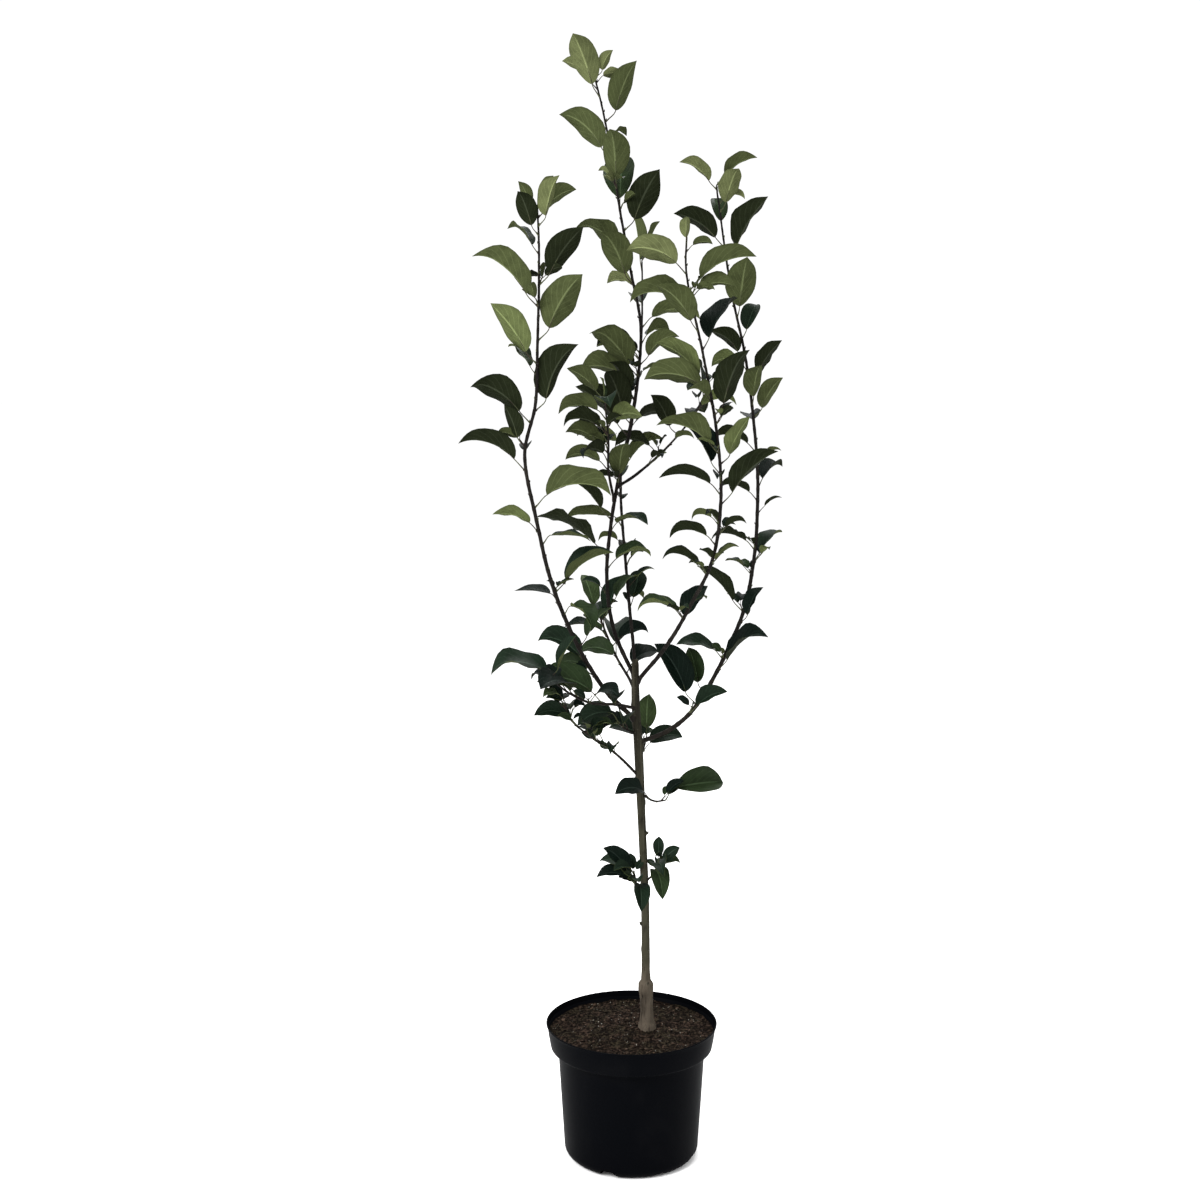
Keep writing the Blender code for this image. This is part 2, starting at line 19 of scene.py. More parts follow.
import bpy
from mathutils import Matrix, Vector, noise
from mathutils.kdtree import KDTree

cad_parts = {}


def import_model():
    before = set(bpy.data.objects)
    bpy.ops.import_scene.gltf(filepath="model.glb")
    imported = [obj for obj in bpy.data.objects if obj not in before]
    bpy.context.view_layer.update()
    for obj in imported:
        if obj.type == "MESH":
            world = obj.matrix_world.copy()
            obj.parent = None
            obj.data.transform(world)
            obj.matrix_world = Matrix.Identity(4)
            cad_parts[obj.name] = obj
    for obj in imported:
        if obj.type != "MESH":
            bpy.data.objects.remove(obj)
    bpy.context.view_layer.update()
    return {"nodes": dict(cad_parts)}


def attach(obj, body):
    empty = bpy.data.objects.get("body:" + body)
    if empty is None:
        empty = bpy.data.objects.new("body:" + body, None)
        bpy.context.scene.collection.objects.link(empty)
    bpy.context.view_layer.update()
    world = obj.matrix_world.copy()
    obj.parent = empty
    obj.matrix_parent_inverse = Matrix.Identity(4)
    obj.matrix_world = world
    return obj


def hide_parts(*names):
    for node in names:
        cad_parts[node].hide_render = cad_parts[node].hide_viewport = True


LOG = logging.getLogger("potted_tree")
BODY = "root"
# Blender takes its seed for noise_vector from the clock until it is given one.
NOISE_SEED = 11
# A full turn in radians, near enough for a leaf's waves and a bud's side.
TURN = 6.28
# The sockets of a Mix node that blends colours, by their number.
MIX_SHARE, MIX_FIRST, MIX_SECOND, MIX_RESULT = 0, 6, 7, 2

Point = tuple[float, float, float]
Colour = tuple[float, float, float]


class Value:
    """A number that varies over a surface. Python's operators on it add Math nodes."""

    def __init__(self, shader: Shader, socket: bpy.types.NodeSocket) -> None:
        """Wraps one output socket.

        Args:
            shader: The shader whose tree the socket is in.
            socket: The output that carries the number.
        """
        self.shader = shader
        self.socket = socket

    def _with(self, operation: str, *operands: Union[Value, float]) -> Value:
        """Adds a Math node.

        Args:
            operation: The Math node's operation.
            operands: Its inputs in order.

        Returns:
            The node's result.
        """
        node = self.shader.node(
            "ShaderNodeMath", {"operation": operation}, dict(enumerate(operands))
        )
        return Value(self.shader, node.outputs[0])

    def __add__(self, other: Union[Value, float]) -> Value:
        """The sum of two numbers."""
        return self._with("ADD", self, other)

    def __radd__(self, other: float) -> Value:
        """The sum with a plain number on the left."""
        return self._with("ADD", other, self)

    def __sub__(self, other: Union[Value, float]) -> Value:
        """The difference of two numbers."""
        return self._with("SUBTRACT", self, other)

    def __rsub__(self, other: float) -> Value:
        """A plain number less this one."""
        return self._with("SUBTRACT", other, self)

    def __mul__(self, other: Union[Value, float]) -> Value:
        """The product of two numbers."""
        return self._with("MULTIPLY", self, other)

    def __rmul__(self, other: float) -> Value:
        """The product with a plain number on the left."""
        return self._with("MULTIPLY", other, self)

    def __abs__(self) -> Value:
        """The number without its sign."""
        return self._with("ABSOLUTE", self)

    def fraction(self) -> Value:
        """What is left past the last whole number."""
        return self._with("FRACT", self)

    def rise(self, low: float, high: float) -> Value:
        """Goes smoothly from 0 to 1 while this number goes from low to high.

        Args:
            low: Where the rise starts. It may be above high, and then the rise is a fall.
            high: Where the rise ends.

        Returns:
            The eased share, from 0 to 1.
        """
        turned = low > high
        span = (high, low) if turned else (low, high)
        node = self.shader.node(
            "ShaderNodeMapRange",
            {"interpolation_type": "SMOOTHSTEP"},
            {"Value": self, "From Min": span[0], "From Max": span[1]},
        )
        eased = Value(self.shader, node.outputs["Result"])
        return 1.0 - eased if turned else eased


class Shader:
    """A material's node tree around its Principled shader."""

    def __init__(self, name: str, colour: Colour, **constants: float) -> None:
        """Makes a material of one colour, to be varied by feed.

        Args:
            name: The material's name.
            colour: Its plain base colour.
            constants: Other sockets of the shader, with spaces written as underscores.
        """
        self.material = bpy.data.materials.new(name)
        self.material.use_nodes = True
        self.tree = self.material.node_tree
        self.surface = self.tree.nodes["Principled BSDF"]
        self.surface.inputs["Base Color"].default_value = (*colour, 1.0)
        for key, number in constants.items():
            self.surface.inputs[key.replace("_", " ")].default_value = number

    def node(
        self, kind: str, settings: dict | None = None, inputs: dict | None = None
    ) -> bpy.types.ShaderNode:
        """Adds a node of any type.

        Args:
            kind: The node's type.
            settings: Its properties, which are set first.
            inputs: Values or links of its sockets, by name or number.

        Returns:
            The new node.
        """
        made = self.tree.nodes.new(kind)
        for key, setting in (settings or {}).items():
            setattr(made, key, setting)
        for key, given in (inputs or {}).items():
            socket = given.socket if isinstance(given, Value) else given
            if isinstance(socket, bpy.types.NodeSocket):
                self.tree.links.new(socket, made.inputs[key])
            else:
                made.inputs[key].default_value = socket
        return made

    def place(self) -> bpy.types.NodeSocket:
        """Where a point lies in the object's own coordinates."""
        return self.node("ShaderNodeTexCoord").outputs["Object"]

    def stretched(self, scale: Point) -> bpy.types.NodeSocket:
        """The object's coordinates with each axis scaled.

        Args:
            scale: The factor on each axis.

        Returns:
            The scaled coordinates.
        """
        inputs = {"Vector": self.place(), "Scale": scale}
        return self.node("ShaderNodeMapping", None, inputs).outputs["Vector"]

    def axes(self, vector: bpy.types.NodeSocket) -> tuple[Value, Value, Value]:
        """Splits a vector into its three numbers."""
        split = self.node("ShaderNodeSeparateXYZ", None, {"Vector": vector})
        return tuple(Value(self, output) for output in split.outputs)

    def cloud(self, vector: bpy.types.NodeSocket, scale: float, detail: float = 3.0) -> Value:
        """Soft noise from 0 to 1.

        Args:
            vector: The coordinates that it reads.
            scale: How many blotches there are in a metre or over the map.
            detail: How many finer layers it has.

        Returns:
            The noise.
        """
        inputs = {"Vector": vector, "Scale": scale, "Detail": detail}
        return Value(self, self.node("ShaderNodeTexNoise", None, inputs).outputs[0])

    def mix(self, share: Value, first: object, second: object) -> bpy.types.NodeSocket:
        """Blends two colours.

        Args:
            share: How much of the second colour there is.
            first: A colour or a colour socket.
            second: A colour or a colour socket.

        Returns:
            The blended colour.
        """
        ends = [(*end, 1.0) if isinstance(end, tuple) else end for end in (first, second)]
        inputs = {MIX_SHARE: share, MIX_FIRST: ends[0], MIX_SECOND: ends[1]}
        return self.node("ShaderNodeMix", {"data_type": "RGBA"}, inputs).outputs[MIX_RESULT]

    def bump(self, height: Value, distance: float, strength: float = 1.0) -> None:
        """Raises the surface by a pattern.

        Args:
            height: The pattern, from 0 to 1.
            distance: How high 1 stands, in metres.
            strength: How fully it shows.
        """
        inputs = {"Height": height, "Distance": distance, "Strength": strength}
        node = self.node("ShaderNodeBump", None, inputs)
        self.tree.links.new(node.outputs["Normal"], self.surface.inputs["Normal"])

    def feed(self, socket: str, source: Union[Value, bpy.types.NodeSocket]) -> None:
        """Links a varying value to one of the shader's sockets."""
        found = source.socket if isinstance(source, Value) else source
        self.tree.links.new(found, self.surface.inputs[socket])


@dataclass(frozen=True)
class Band:
    """The stretch of a pattern over which a mark comes in, and how strong it then is."""

    low: float
    high: float
    share: float = 1.0

    def of(self, pattern: Value) -> Value:
        """How strongly the mark shows at each point of the pattern."""
        risen = pattern.rise(self.low, self.high)
        return risen if self.share == 1.0 else risen * self.share


@dataclass(frozen=True)
class Finish:
    """A finish that is mixed once and then shared by every piece that asks for it."""

    name: str

    def material(self) -> bpy.types.Material:
        """The finish's material, mixed on first use."""
        return bpy.data.materials.get(self.name) or self.mixed().material

    def mixed(self) -> Shader:
        """Mixes the material. Each finish has its own."""
        raise NotImplementedError


@dataclass(frozen=True)
class SatinBlackPlastic(Finish):
    """Black moulded polypropylene, with a faint grain, dusty smears and streaks, and specks."""

    name: str = "satin_black_plastic"
    black: Colour = (0.0011, 0.0013, 0.0019)
    dust: Colour = (0.0052, 0.0052, 0.0058)
    gloss: float = 0.010
    streak_scale: Point = (34.0, 34.0, 3.0)
    smear_scale: float = 11.0
    speck_scale: float = 620.0
    grain_scale: float = 900.0
    dusty_smears: Band = Band(0.52, 0.80, 0.28)
    dusty_streaks: Band = Band(0.60, 0.85, 0.14)
    dusty_specks: Band = Band(0.70, 0.78, 0.35)
    roughness: float = 0.34
    smear_roughness: float = 0.16
    streak_roughness: float = 0.10
    grain_share: float = 0.6
    relief: float = 0.00012
    relief_strength: float = 0.6

    def mixed(self) -> Shader:
        """Mixes the plastic."""
        shader = Shader(self.name, self.black, Specular_IOR_Level=self.gloss)
        place = shader.place()
        streaks = shader.cloud(shader.stretched(self.streak_scale), 1.0, detail=4.0)
        smears = shader.cloud(place, self.smear_scale, detail=4.0)
        specks = shader.cloud(place, self.speck_scale, detail=2.0)
        dusty = self.dusty_smears.of(smears) + self.dusty_streaks.of(streaks)
        dusty = dusty + self.dusty_specks.of(specks)
        shader.feed("Base Color", shader.mix(dusty, self.black, self.dust))
        scuffed = smears * self.smear_roughness + streaks * self.streak_roughness
        shader.feed("Roughness", self.roughness + scuffed)
        grain = shader.cloud(place, self.grain_scale, detail=2.0) * self.grain_share
        uneven = grain + smears * (1.0 - self.grain_share)
        shader.bump(uneven, self.relief, self.relief_strength)
        return shader


@dataclass(frozen=True)
class CrumblySoil(Finish):
    """Damp potting soil: dark peat with brown and olive crumbs."""

    name: str = "crumbly_soil"
    damp: Colour = (0.0024, 0.0015, 0.0010)
    brown: Colour = (0.0400, 0.0265, 0.0190)
    olive: Colour = (0.0330, 0.0265, 0.0165)
    gloss: float = 0.02
    crumb_scale: float = 210.0
    patch_scale: float = 17.0
    hue_scale: float = 31.0
    crumbs: Band = Band(0.42, 0.70)
    olive_patches: Band = Band(0.42, 0.58)
    least_crumbs: float = 0.35
    patch_gain: float = 0.75
    roughness: float = 0.78
    crumb_roughness: float = 0.2
    relief: float = 0.0016

    def mixed(self) -> Shader:
        """Mixes the soil."""
        shader = Shader(self.name, self.damp, Specular_IOR_Level=self.gloss)
        place = shader.place()
        crumbs = shader.cloud(place, self.crumb_scale, detail=5.0)
        patches = shader.cloud(place, self.patch_scale)
        hues = shader.cloud(place, self.hue_scale)
        share = self.crumbs.of(crumbs) * (self.least_crumbs + patches * self.patch_gain)
        bright = shader.mix(self.olive_patches.of(hues), self.brown, self.olive)
        shader.feed("Base Color", shader.mix(share, self.damp, bright))
        shader.feed("Roughness", self.roughness + crumbs * self.crumb_roughness)
        shader.bump(crumbs, self.relief)
        return shader


@dataclass(frozen=True)
class SoilBit(Finish):
    """One kind of bit in the soil, its colour varied from bit to bit by where it lies."""

    dark: Colour
    light: Colour
    gloss: float = 0.03
    hue_scale: float = 95.0
    lighter: Band = Band(0.34, 0.68)
    roughness: float = 0.62
    grit_scale: float = 800.0
    grit_roughness: float = 0.3

    def mixed(self) -> Shader:
        """Mixes the bit's colour."""
        shader = Shader(self.name, self.dark, Specular_IOR_Level=self.gloss)
        place = shader.place()
        share = self.lighter.of(shader.cloud(place, self.hue_scale, detail=2.0))
        shader.feed("Base Color", shader.mix(share, self.dark, self.light))
        grit = shader.cloud(place, self.grit_scale, detail=2.0)
        shader.feed("Roughness", self.roughness + grit * self.grit_roughness)
        return shader


@dataclass(frozen=True)
class Bark(Finish):
    """Bark whose colour runs from foot to top, with fissures and pale pores.

    The low colour goes over into the union's from the foot to the graft, and past the graft
    into the high one. Towards the top it takes on a painted shade of the dark stain colour.
    """

    low: Colour = (0.082, 0.066, 0.050)
    union: Colour = (0.074, 0.060, 0.045)
    high: Colour = (0.032, 0.0305, 0.0200)
    # A dark stain for the fissures and blotches, and the colour of the painted shade towards the
    # top.
    stain_and_shade: Colour = (0.0055, 0.0047, 0.0036)
    streak: Colour = (0.062, 0.057, 0.041)
    pore: Colour = (0.066, 0.058, 0.044)
    foot: float = 0.20
    graft: float = 0.262
    above_graft: float = 0.05
    # Painted shade: the bark darkens from the first of these heights to the second, by the share
    # after them.
    painted_shade_from: float = 0.46
    top: float = 0.77
    shade: float = 0.70
    gloss: float = 0.04
    roughness: float = 0.72
    fissure_roughness: float = 0.3
    fissure_scale: Point = (420.0, 420.0, 60.0)
    blotch_scale: Point = (70.0, 70.0, 24.0)
    streak_scale: Point = (150.0, 150.0, 7.0)
    pore_scale: Point = (240.0, 240.0, 620.0)
    dark_fissures: Band = Band(0.50, 0.30, 0.55)
    dark_blotches: Band = Band(0.45, 0.72, 0.6)
    pale_streaks: Band = Band(0.52, 0.74, 0.6)
    chosen_cells: Band = Band(0.78, 0.84)
    pore_spots: Band = Band(0.42, 0.26)
    pore_share: float = 0.42
    grain: float = 0.00035
    grain_strength: float = 0.9
    fissure_relief: float = 0.7
    pore_relief: float = 0.5

    def mixed(self) -> Shader:
        """Mixes the bark."""
        shader = Shader(self.name, self.high, Specular_IOR_Level=self.gloss)
        height = shader.axes(shader.place())[2]
        plain = shader.mix(height.rise(self.foot, self.graft), self.low, self.union)
        past_graft = height.rise(self.graft, self.graft + self.above_graft)
        plain = shader.mix(past_graft, plain, self.high)
        # Painted shade, deepening towards the top.
        painted_shade = height.rise(self.painted_shade_from, self.top) * self.shade
        plain = shader.mix(painted_shade, plain, self.stain_and_shade)
        fissures = shader.cloud(shader.stretched(self.fissure_scale), 1.0, detail=4.0)
        blotches = shader.cloud(shader.stretched(self.blotch_scale), 1.0)
        tint = self.dark_fissures.of(fissures) + self.dark_blotches.of(blotches)
        plain = shader.mix(tint, plain, self.stain_and_shade)
        streaks = shader.cloud(shader.stretched(self.streak_scale), 1.0, detail=2.0)
        plain = shader.mix(self.pale_streaks.of(streaks), plain, self.streak)
        flat = shader.stretched(self.pore_scale)
        cells = shader.node("ShaderNodeTexVoronoi", None, {"Vector": flat, "Scale": 1.0})
        chosen = self.chosen_cells.of(shader.axes(cells.outputs["Color"])[0])
        pores = self.pore_spots.of(Value(shader, cells.outputs["Distance"])) * chosen
        shader.feed("Base Color", shader.mix(pores * self.pore_share, plain, self.pore))
        shader.feed("Roughness", self.roughness + (fissures - 0.5) * self.fissure_roughness)
        raised = fissures * self.fissure_relief + pores * self.pore_relief
        shader.bump(raised, self.grain, self.grain_strength)
        return shader


TRUNK_BARK = Bark("trunk_bark_skin")
SHOOT_BARK = Bark(
    "shoot_bark_skin",
    low=(0.0112, 0.0096, 0.0070),
    union=(0.0110, 0.0090, 0.0070),
    high=(0.0085, 0.0070, 0.0060),
    stain_and_shade=(0.0034, 0.0029, 0.0027),
    streak=(0.0170, 0.0148, 0.0120),
    pore=(0.0380, 0.0330, 0.0280),
    foot=0.50,
    graft=0.70,
    # The boughs' painted shade starts here.
    painted_shade_from=0.75,
    top=1.60,
    shade=0.45,
    roughness=0.50,
    pore_share=0.40,
    grain=0.00018,
)


class Tone(Enum):
    """How old a leaf is and how much light it grew in; the deeper tones are partly painted shade
    besides.
    """

    DEEP = 0
    GREEN = 1
    FRESH = 2
    TENDER = 3


class Side(Enum):
    """The side of a leaf."""

    UPPER = "upper"
    UNDER = "under"


@dataclass(frozen=True)
class SideLook:
    """What differs between the two sides of a leaf, whatever its tone."""

    gloss: float
    roughness: float
    shade: float
    vein_gain: float
    rib_share: float
    raised_veins: bool


SIDE_LOOKS: dict[Side, SideLook] = {
    Side.UPPER: SideLook(0.030, 0.38, 0.50, 2.4, 0.26, False),
    Side.UNDER: SideLook(0.012, 0.62, 0.55, 2.1, 0.34, True),
}
# The deep tone is partly painted shade: its colours, the underside's above all, are darkened
# copies of the green tone's.
LEAF_COLOURS: dict[tuple[Tone, Side], Colour] = {
    (Tone.DEEP, Side.UPPER): (0.0024, 0.0056, 0.0037),
    (Tone.GREEN, Side.UPPER): (0.0064, 0.0128, 0.0070),
    (Tone.FRESH, Side.UPPER): (0.0135, 0.0230, 0.0090),
    (Tone.TENDER, Side.UPPER): (0.0260, 0.0400, 0.0150),
    (Tone.DEEP, Side.UNDER): (0.0090, 0.0116, 0.0050),
    (Tone.GREEN, Side.UNDER): (0.0410, 0.0495, 0.0190),
    (Tone.FRESH, Side.UNDER): (0.0640, 0.0780, 0.0290),
    (Tone.TENDER, Side.UNDER): (0.0780, 0.0890, 0.0370),
}


@dataclass(frozen=True)
class LeafSkin(Finish):
    """One side of a leaf of one tone, with its midrib, side veins and mottled web.

    The bands midrib, side_vein_end and margin read 0 at the midrib and 1 at the blade's edge.
    """

    tone: Tone = Tone.GREEN
    side: Side = Side.UPPER
    map_name: str = "blade"
    veins: int = 7
    slant: float = 0.42
    vein_lift: float = 0.010
    cell_scale: float = 330.0
    cloud_scale: float = 75.0
    midrib: Band = Band(0.085, 0.030)
    midrib_end: Band = Band(1.0, 0.82)
    side_vein: Band = Band(0.085, 0.02)
    side_vein_end: Band = Band(0.96, 0.72)
    web: Band = Band(0.10, 0.02)
    mottles: Band = Band(0.40, 0.72, 0.55)
    margin: Band = Band(0.80, 1.0, 0.35)
    midrib_share: float = 0.85
    web_share: float = 0.08
    cloud_roughness: float = 0.12
    midrib_polish: float = 0.06
    side_vein_relief: float = 0.7
    web_relief: float = 0.25
    relief: float = 0.00030
    relief_strength: float = 0.55

    @classmethod
    def of(cls, tone: Tone, side: Side) -> LeafSkin:
        """The skin of one tone and side, named after both."""
        return cls(name=f"leaf_{side.value}_{tone.name.lower()}", tone=tone, side=side)

    def mixed(self) -> Shader:
        """Mixes the skin."""
        look = SIDE_LOOKS[self.side]
        base = LEAF_COLOURS[self.tone, self.side]
        vein = tuple(channel * look.vein_gain + self.vein_lift for channel in base)
        dark = tuple(channel * look.shade for channel in base)
        shader = Shader(self.name, base, Specular_IOR_Level=look.gloss)
        blade = shader.node("ShaderNodeUVMap", {"uv_map": self.map_name}).outputs["UV"]
        along, across, _ = shader.axes(blade)
        off = abs(across - 0.5) * 2.0
        midrib = self.midrib.of(off) * self.midrib_end.of(along)
        step = ((along - off * self.slant) * self.veins).fraction()
        ribs = self.side_vein.of(abs(step - 0.5)) * self.side_vein_end.of(off)
        cells = shader.node(
            "ShaderNodeTexVoronoi",
            {"feature": "DISTANCE_TO_EDGE"},
            {"Vector": shader.place(), "Scale": self.cell_scale},
        )
        web = self.web.of(Value(shader, cells.outputs["Distance"]))
        clouds = shader.cloud(shader.place(), self.cloud_scale)
        skin = shader.mix(self.mottles.of(clouds), base, dark)
        skin = shader.mix(self.margin.of(off), skin, dark)
        lines = midrib * self.midrib_share + ribs * look.rib_share + web * self.web_share
        shader.feed("Base Color", shader.mix(lines, skin, vein))
        rough = look.roughness + clouds * self.cloud_roughness - midrib * self.midrib_polish
        shader.feed("Roughness", rough)
        raised = midrib + ribs * self.side_vein_relief + web * self.web_relief
        height = raised if look.raised_veins else 1.0 - raised
        shader.bump(height, self.relief, self.relief_strength)
        return shader


@dataclass(frozen=True)
class StalkSkin(Finish):
    """Leaf stalks and buds: green, flushed with purple brown."""

    name: str = "stalk_skin"
    green: Colour = (0.046, 0.052, 0.024)
    flush: Colour = (0.0200, 0.0135, 0.0110)
    gloss: float = 0.08
    flush_scale: float = 60.0
    flushed: Band = Band(0.40, 0.62)
    roughness: float = 0.5
    flush_roughness: float = 0.15

    def mixed(self) -> Shader:
        """Mixes the stalk's skin."""
        shader = Shader(self.name, self.green, Specular_IOR_Level=self.gloss)
        flushed = self.flushed.of(shader.cloud(shader.place(), self.flush_scale, detail=2.0))
        shader.feed("Base Color", shader.mix(flushed, self.green, self.flush))
        shader.feed("Roughness", self.roughness + flushed * self.flush_roughness)
        return shader


@dataclass(frozen=True)
class StudioPaper(Finish):
    """The pale seamless paper that the tree stands on."""

    name: str = "studio_paper"
    pale: Colour = (0.97, 0.97, 0.97)
    gloss: float = 0.1
    fibre_scale: float = 60.0
    roughness: float = 0.88
    fibre_roughness: float = 0.08

    def mixed(self) -> Shader:
        """Mixes the paper."""
        shader = Shader(self.name, self.pale, Specular_IOR_Level=self.gloss)
        fibre = shader.cloud(shader.place(), self.fibre_scale, detail=2.0)
        shader.feed("Roughness", self.roughness + fibre * self.fibre_roughness)
        return shader


def deselect_all() -> None:
    """Leaves nothing selected, so that an operator acts on what is added next."""
    bpy.ops.object.select_all(action="DESELECT")


def take_up(piece: bpy.types.Object) -> None:
    """Selects one piece alone and makes it the active one."""
    deselect_all()
    piece.select_set(True)
    bpy.context.view_layer.objects.active = piece


def close_up(piece: bpy.types.Object, outwards: bool = True, within: float = 1e-6) -> None:
    """Merges a mesh's doubled points, and turns its faces outwards unless it is a sheet.

    Args:
        piece: The piece to mend.
        outwards: Whether its faces are turned outwards.
        within: How near two points are that become one.
    """
    take_up(piece)
    bpy.ops.object.mode_set(mode="EDIT")
    bpy.ops.mesh.select_all(action="SELECT")
    bpy.ops.mesh.remove_doubles(threshold=within)
    if outwards:
        bpy.ops.mesh.normals_make_consistent(inside=False)
    bpy.ops.object.mode_set(mode="OBJECT")


def copy_of(pattern: bpy.types.Object, name: str) -> bpy.types.Object:
    """Copies a pattern under a new name, with a mesh of its own."""
    copy = bpy.data.objects.new(name, pattern.data.copy())
    bpy.context.scene.collection.objects.link(copy)
    return copy


def lathe(name: str, stations: Sequence[tuple[float, float]], sides: int) -> bpy.types.Object:
    """Draws a disc up through stations of radius and height, as clay is drawn up on a wheel.

    Args:
        name: The new object's name.
        stations: Radius and height of each ring in turn. The last is a small closing disc.
        sides: How many sides each ring has.

    Returns:
        The turned piece, closed, its faces outwards.
    """
    deselect_all()
    radius, height = stations[0]
    bpy.ops.mesh.primitive_circle_add(vertices=sides, radius=radius, fill_type="NGON")
    piece = bpy.context.object
    piece.name = piece.data.name = name
    bpy.ops.object.mode_set(mode="EDIT")
    bpy.ops.mesh.select_all(action="SELECT")
    bpy.ops.transform.translate(value=(0.0, 0.0, height))
    for wider, higher in stations[1:]:
        lift = {"value": (0.0, 0.0, higher - height)}
        bpy.ops.mesh.extrude_region_move(TRANSFORM_OT_translate=lift)
        share = wider / radius
        bpy.ops.transform.resize(
            value=(share, share, 1.0), center_override=(0.0, 0.0, higher)
        )
        radius, height = wider, higher
    bpy.ops.mesh.select_all(action="SELECT")
    bpy.ops.mesh.normals_make_consistent(inside=False)
    bpy.ops.object.mode_set(mode="OBJECT")
    return piece


def sweep(
    name: str, points: Sequence[Vector], radii: Sequence[float], rounding: int
) -> bpy.types.Object:
    """Lays a bevelled curve through points and makes it a closed mesh.

    Args:
        name: The new object's name.
        points: Where the curve runs.
        radii: How thick it is at each point.
        rounding: The bevel's resolution. A tube has four sides and two more for each step.

    Returns:
        The tube.
    """
    deselect_all()
    bpy.ops.curve.primitive_bezier_curve_add()
    piece = bpy.context.object
    piece.name = piece.data.name = name
    curve = piece.data
    curve.splines.clear()
    curve.dimensions = "3D"
    curve.bevel_depth = 1.0
    curve.bevel_resolution = rounding
    curve.use_fill_caps = True
    spline = curve.splines.new("POLY")
    spline.points.add(len(points) - 1)
    for control, point, radius in zip(spline.points, points, radii):
        control.co = (*point, 1.0)
        control.radius = radius
    bpy.ops.object.convert(target="MESH")
    close_up(piece)
    return piece


def join(name: str, pieces: Sequence[bpy.types.Object]) -> bpy.types.Object:
    """Joins pieces into one object.

    Args:
        name: The joined object's name.
        pieces: What to join.

    Returns:
        The joined object.
    """
    take_up(pieces[0])
    for piece in pieces:
        piece.select_set(True)
    bpy.ops.object.join()
    joined = bpy.context.object
    joined.name = joined.data.name = name
    return joined


def smooth(piece: bpy.types.Object, degrees: float) -> None:
    """Shades a piece smoothly, apart from edges sharper than an angle."""
    take_up(piece)
    bpy.ops.object.shade_smooth_by_angle(angle=math.radians(degrees))


def dress(
    piece: bpy.types.Object, finish: Finish | None, slot: str, *nodes: str
) -> bpy.types.Object:
    """Gives a piece its finish and body, and says which nodes it stands for.

    Args:
        piece: The finished piece.
        finish: Its finish, or None where its faces already have theirs.
        slot: The name of its material slot. It is not used.
        nodes: The solids that it stands for.

    Returns:
        The same piece.
    """
    if finish:
        piece.data.materials.clear()
        piece.data.materials.append(finish.material())
    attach(piece, BODY)
    if nodes:
        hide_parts(*nodes)
    LOG.info("%s: %d faces", piece.name, len(piece.data.polygons))
    return piece


class Path:
    """A smooth curve through a route's points, read by the distance along it."""

    FINE = 12

    def __init__(self, route: Sequence[Point]) -> None:
        """Works out the curve.

        Args:
            route: The points that it runs through.
        """
        ends = [Vector(point) for point in route]
        ends = [ends[0] * 2 - ends[1], *ends, ends[-1] * 2 - ends[-2]]
        self.points = [ends[1]]
        for a, b, c, d in zip(ends, ends[1:], ends[2:], ends[3:]):
            for step in range(1, self.FINE + 1):
                t = step / self.FINE
                bent = (2 * a - 5 * b + 4 * c - d) * t**2 + (3 * b - 3 * c + d - a) * t**3
                self.points.append(0.5 * (2 * b + (c - a) * t + bent))
        self.distances = [0.0]
        for before, after in zip(self.points, self.points[1:]):
            self.distances.append(self.distances[-1] + (after - before).length)
        self.length = self.distances[-1]

    def at(self, distance: float) -> Vector:
        """The point at a distance along the curve."""
        last = len(self.points) - 2
        for i, reached in enumerate(self.distances[1:]):
            if reached >= distance or i == last:
                share = (distance - self.distances[i]) / (reached - self.distances[i])
                return self.points[i].lerp(self.points[i + 1], share)
        return self.points[-1]


def forward(elevation: float, azimuth: float) -> Vector:
    """The direction with an elevation and an azimuth, in radians."""
    level = math.cos(elevation)
    return Vector((level * math.cos(azimuth), level * math.sin(azimuth), math.sin(elevation)))


def eased(share: float) -> float:
    """A share from 0 to 1, slow at both ends."""
    share = max(0.0, min(1.0, share))
    return share * share * (3.0 - 2.0 * share)


def between(table: Sequence[tuple[float, float]], place: float) -> float:
    """Reads a table of places and values with eased steps.

    Args:
        table: Rising places, each with its value.
        place: Where to read it.

    Returns:
        The value there.
    """
    for (low, low_value), (high, high_value) in zip(table, table[1:]):
        if place <= high:
            return low_value + (high_value - low_value) * eased((place - low) / (high - low))
    return table[-1][1]


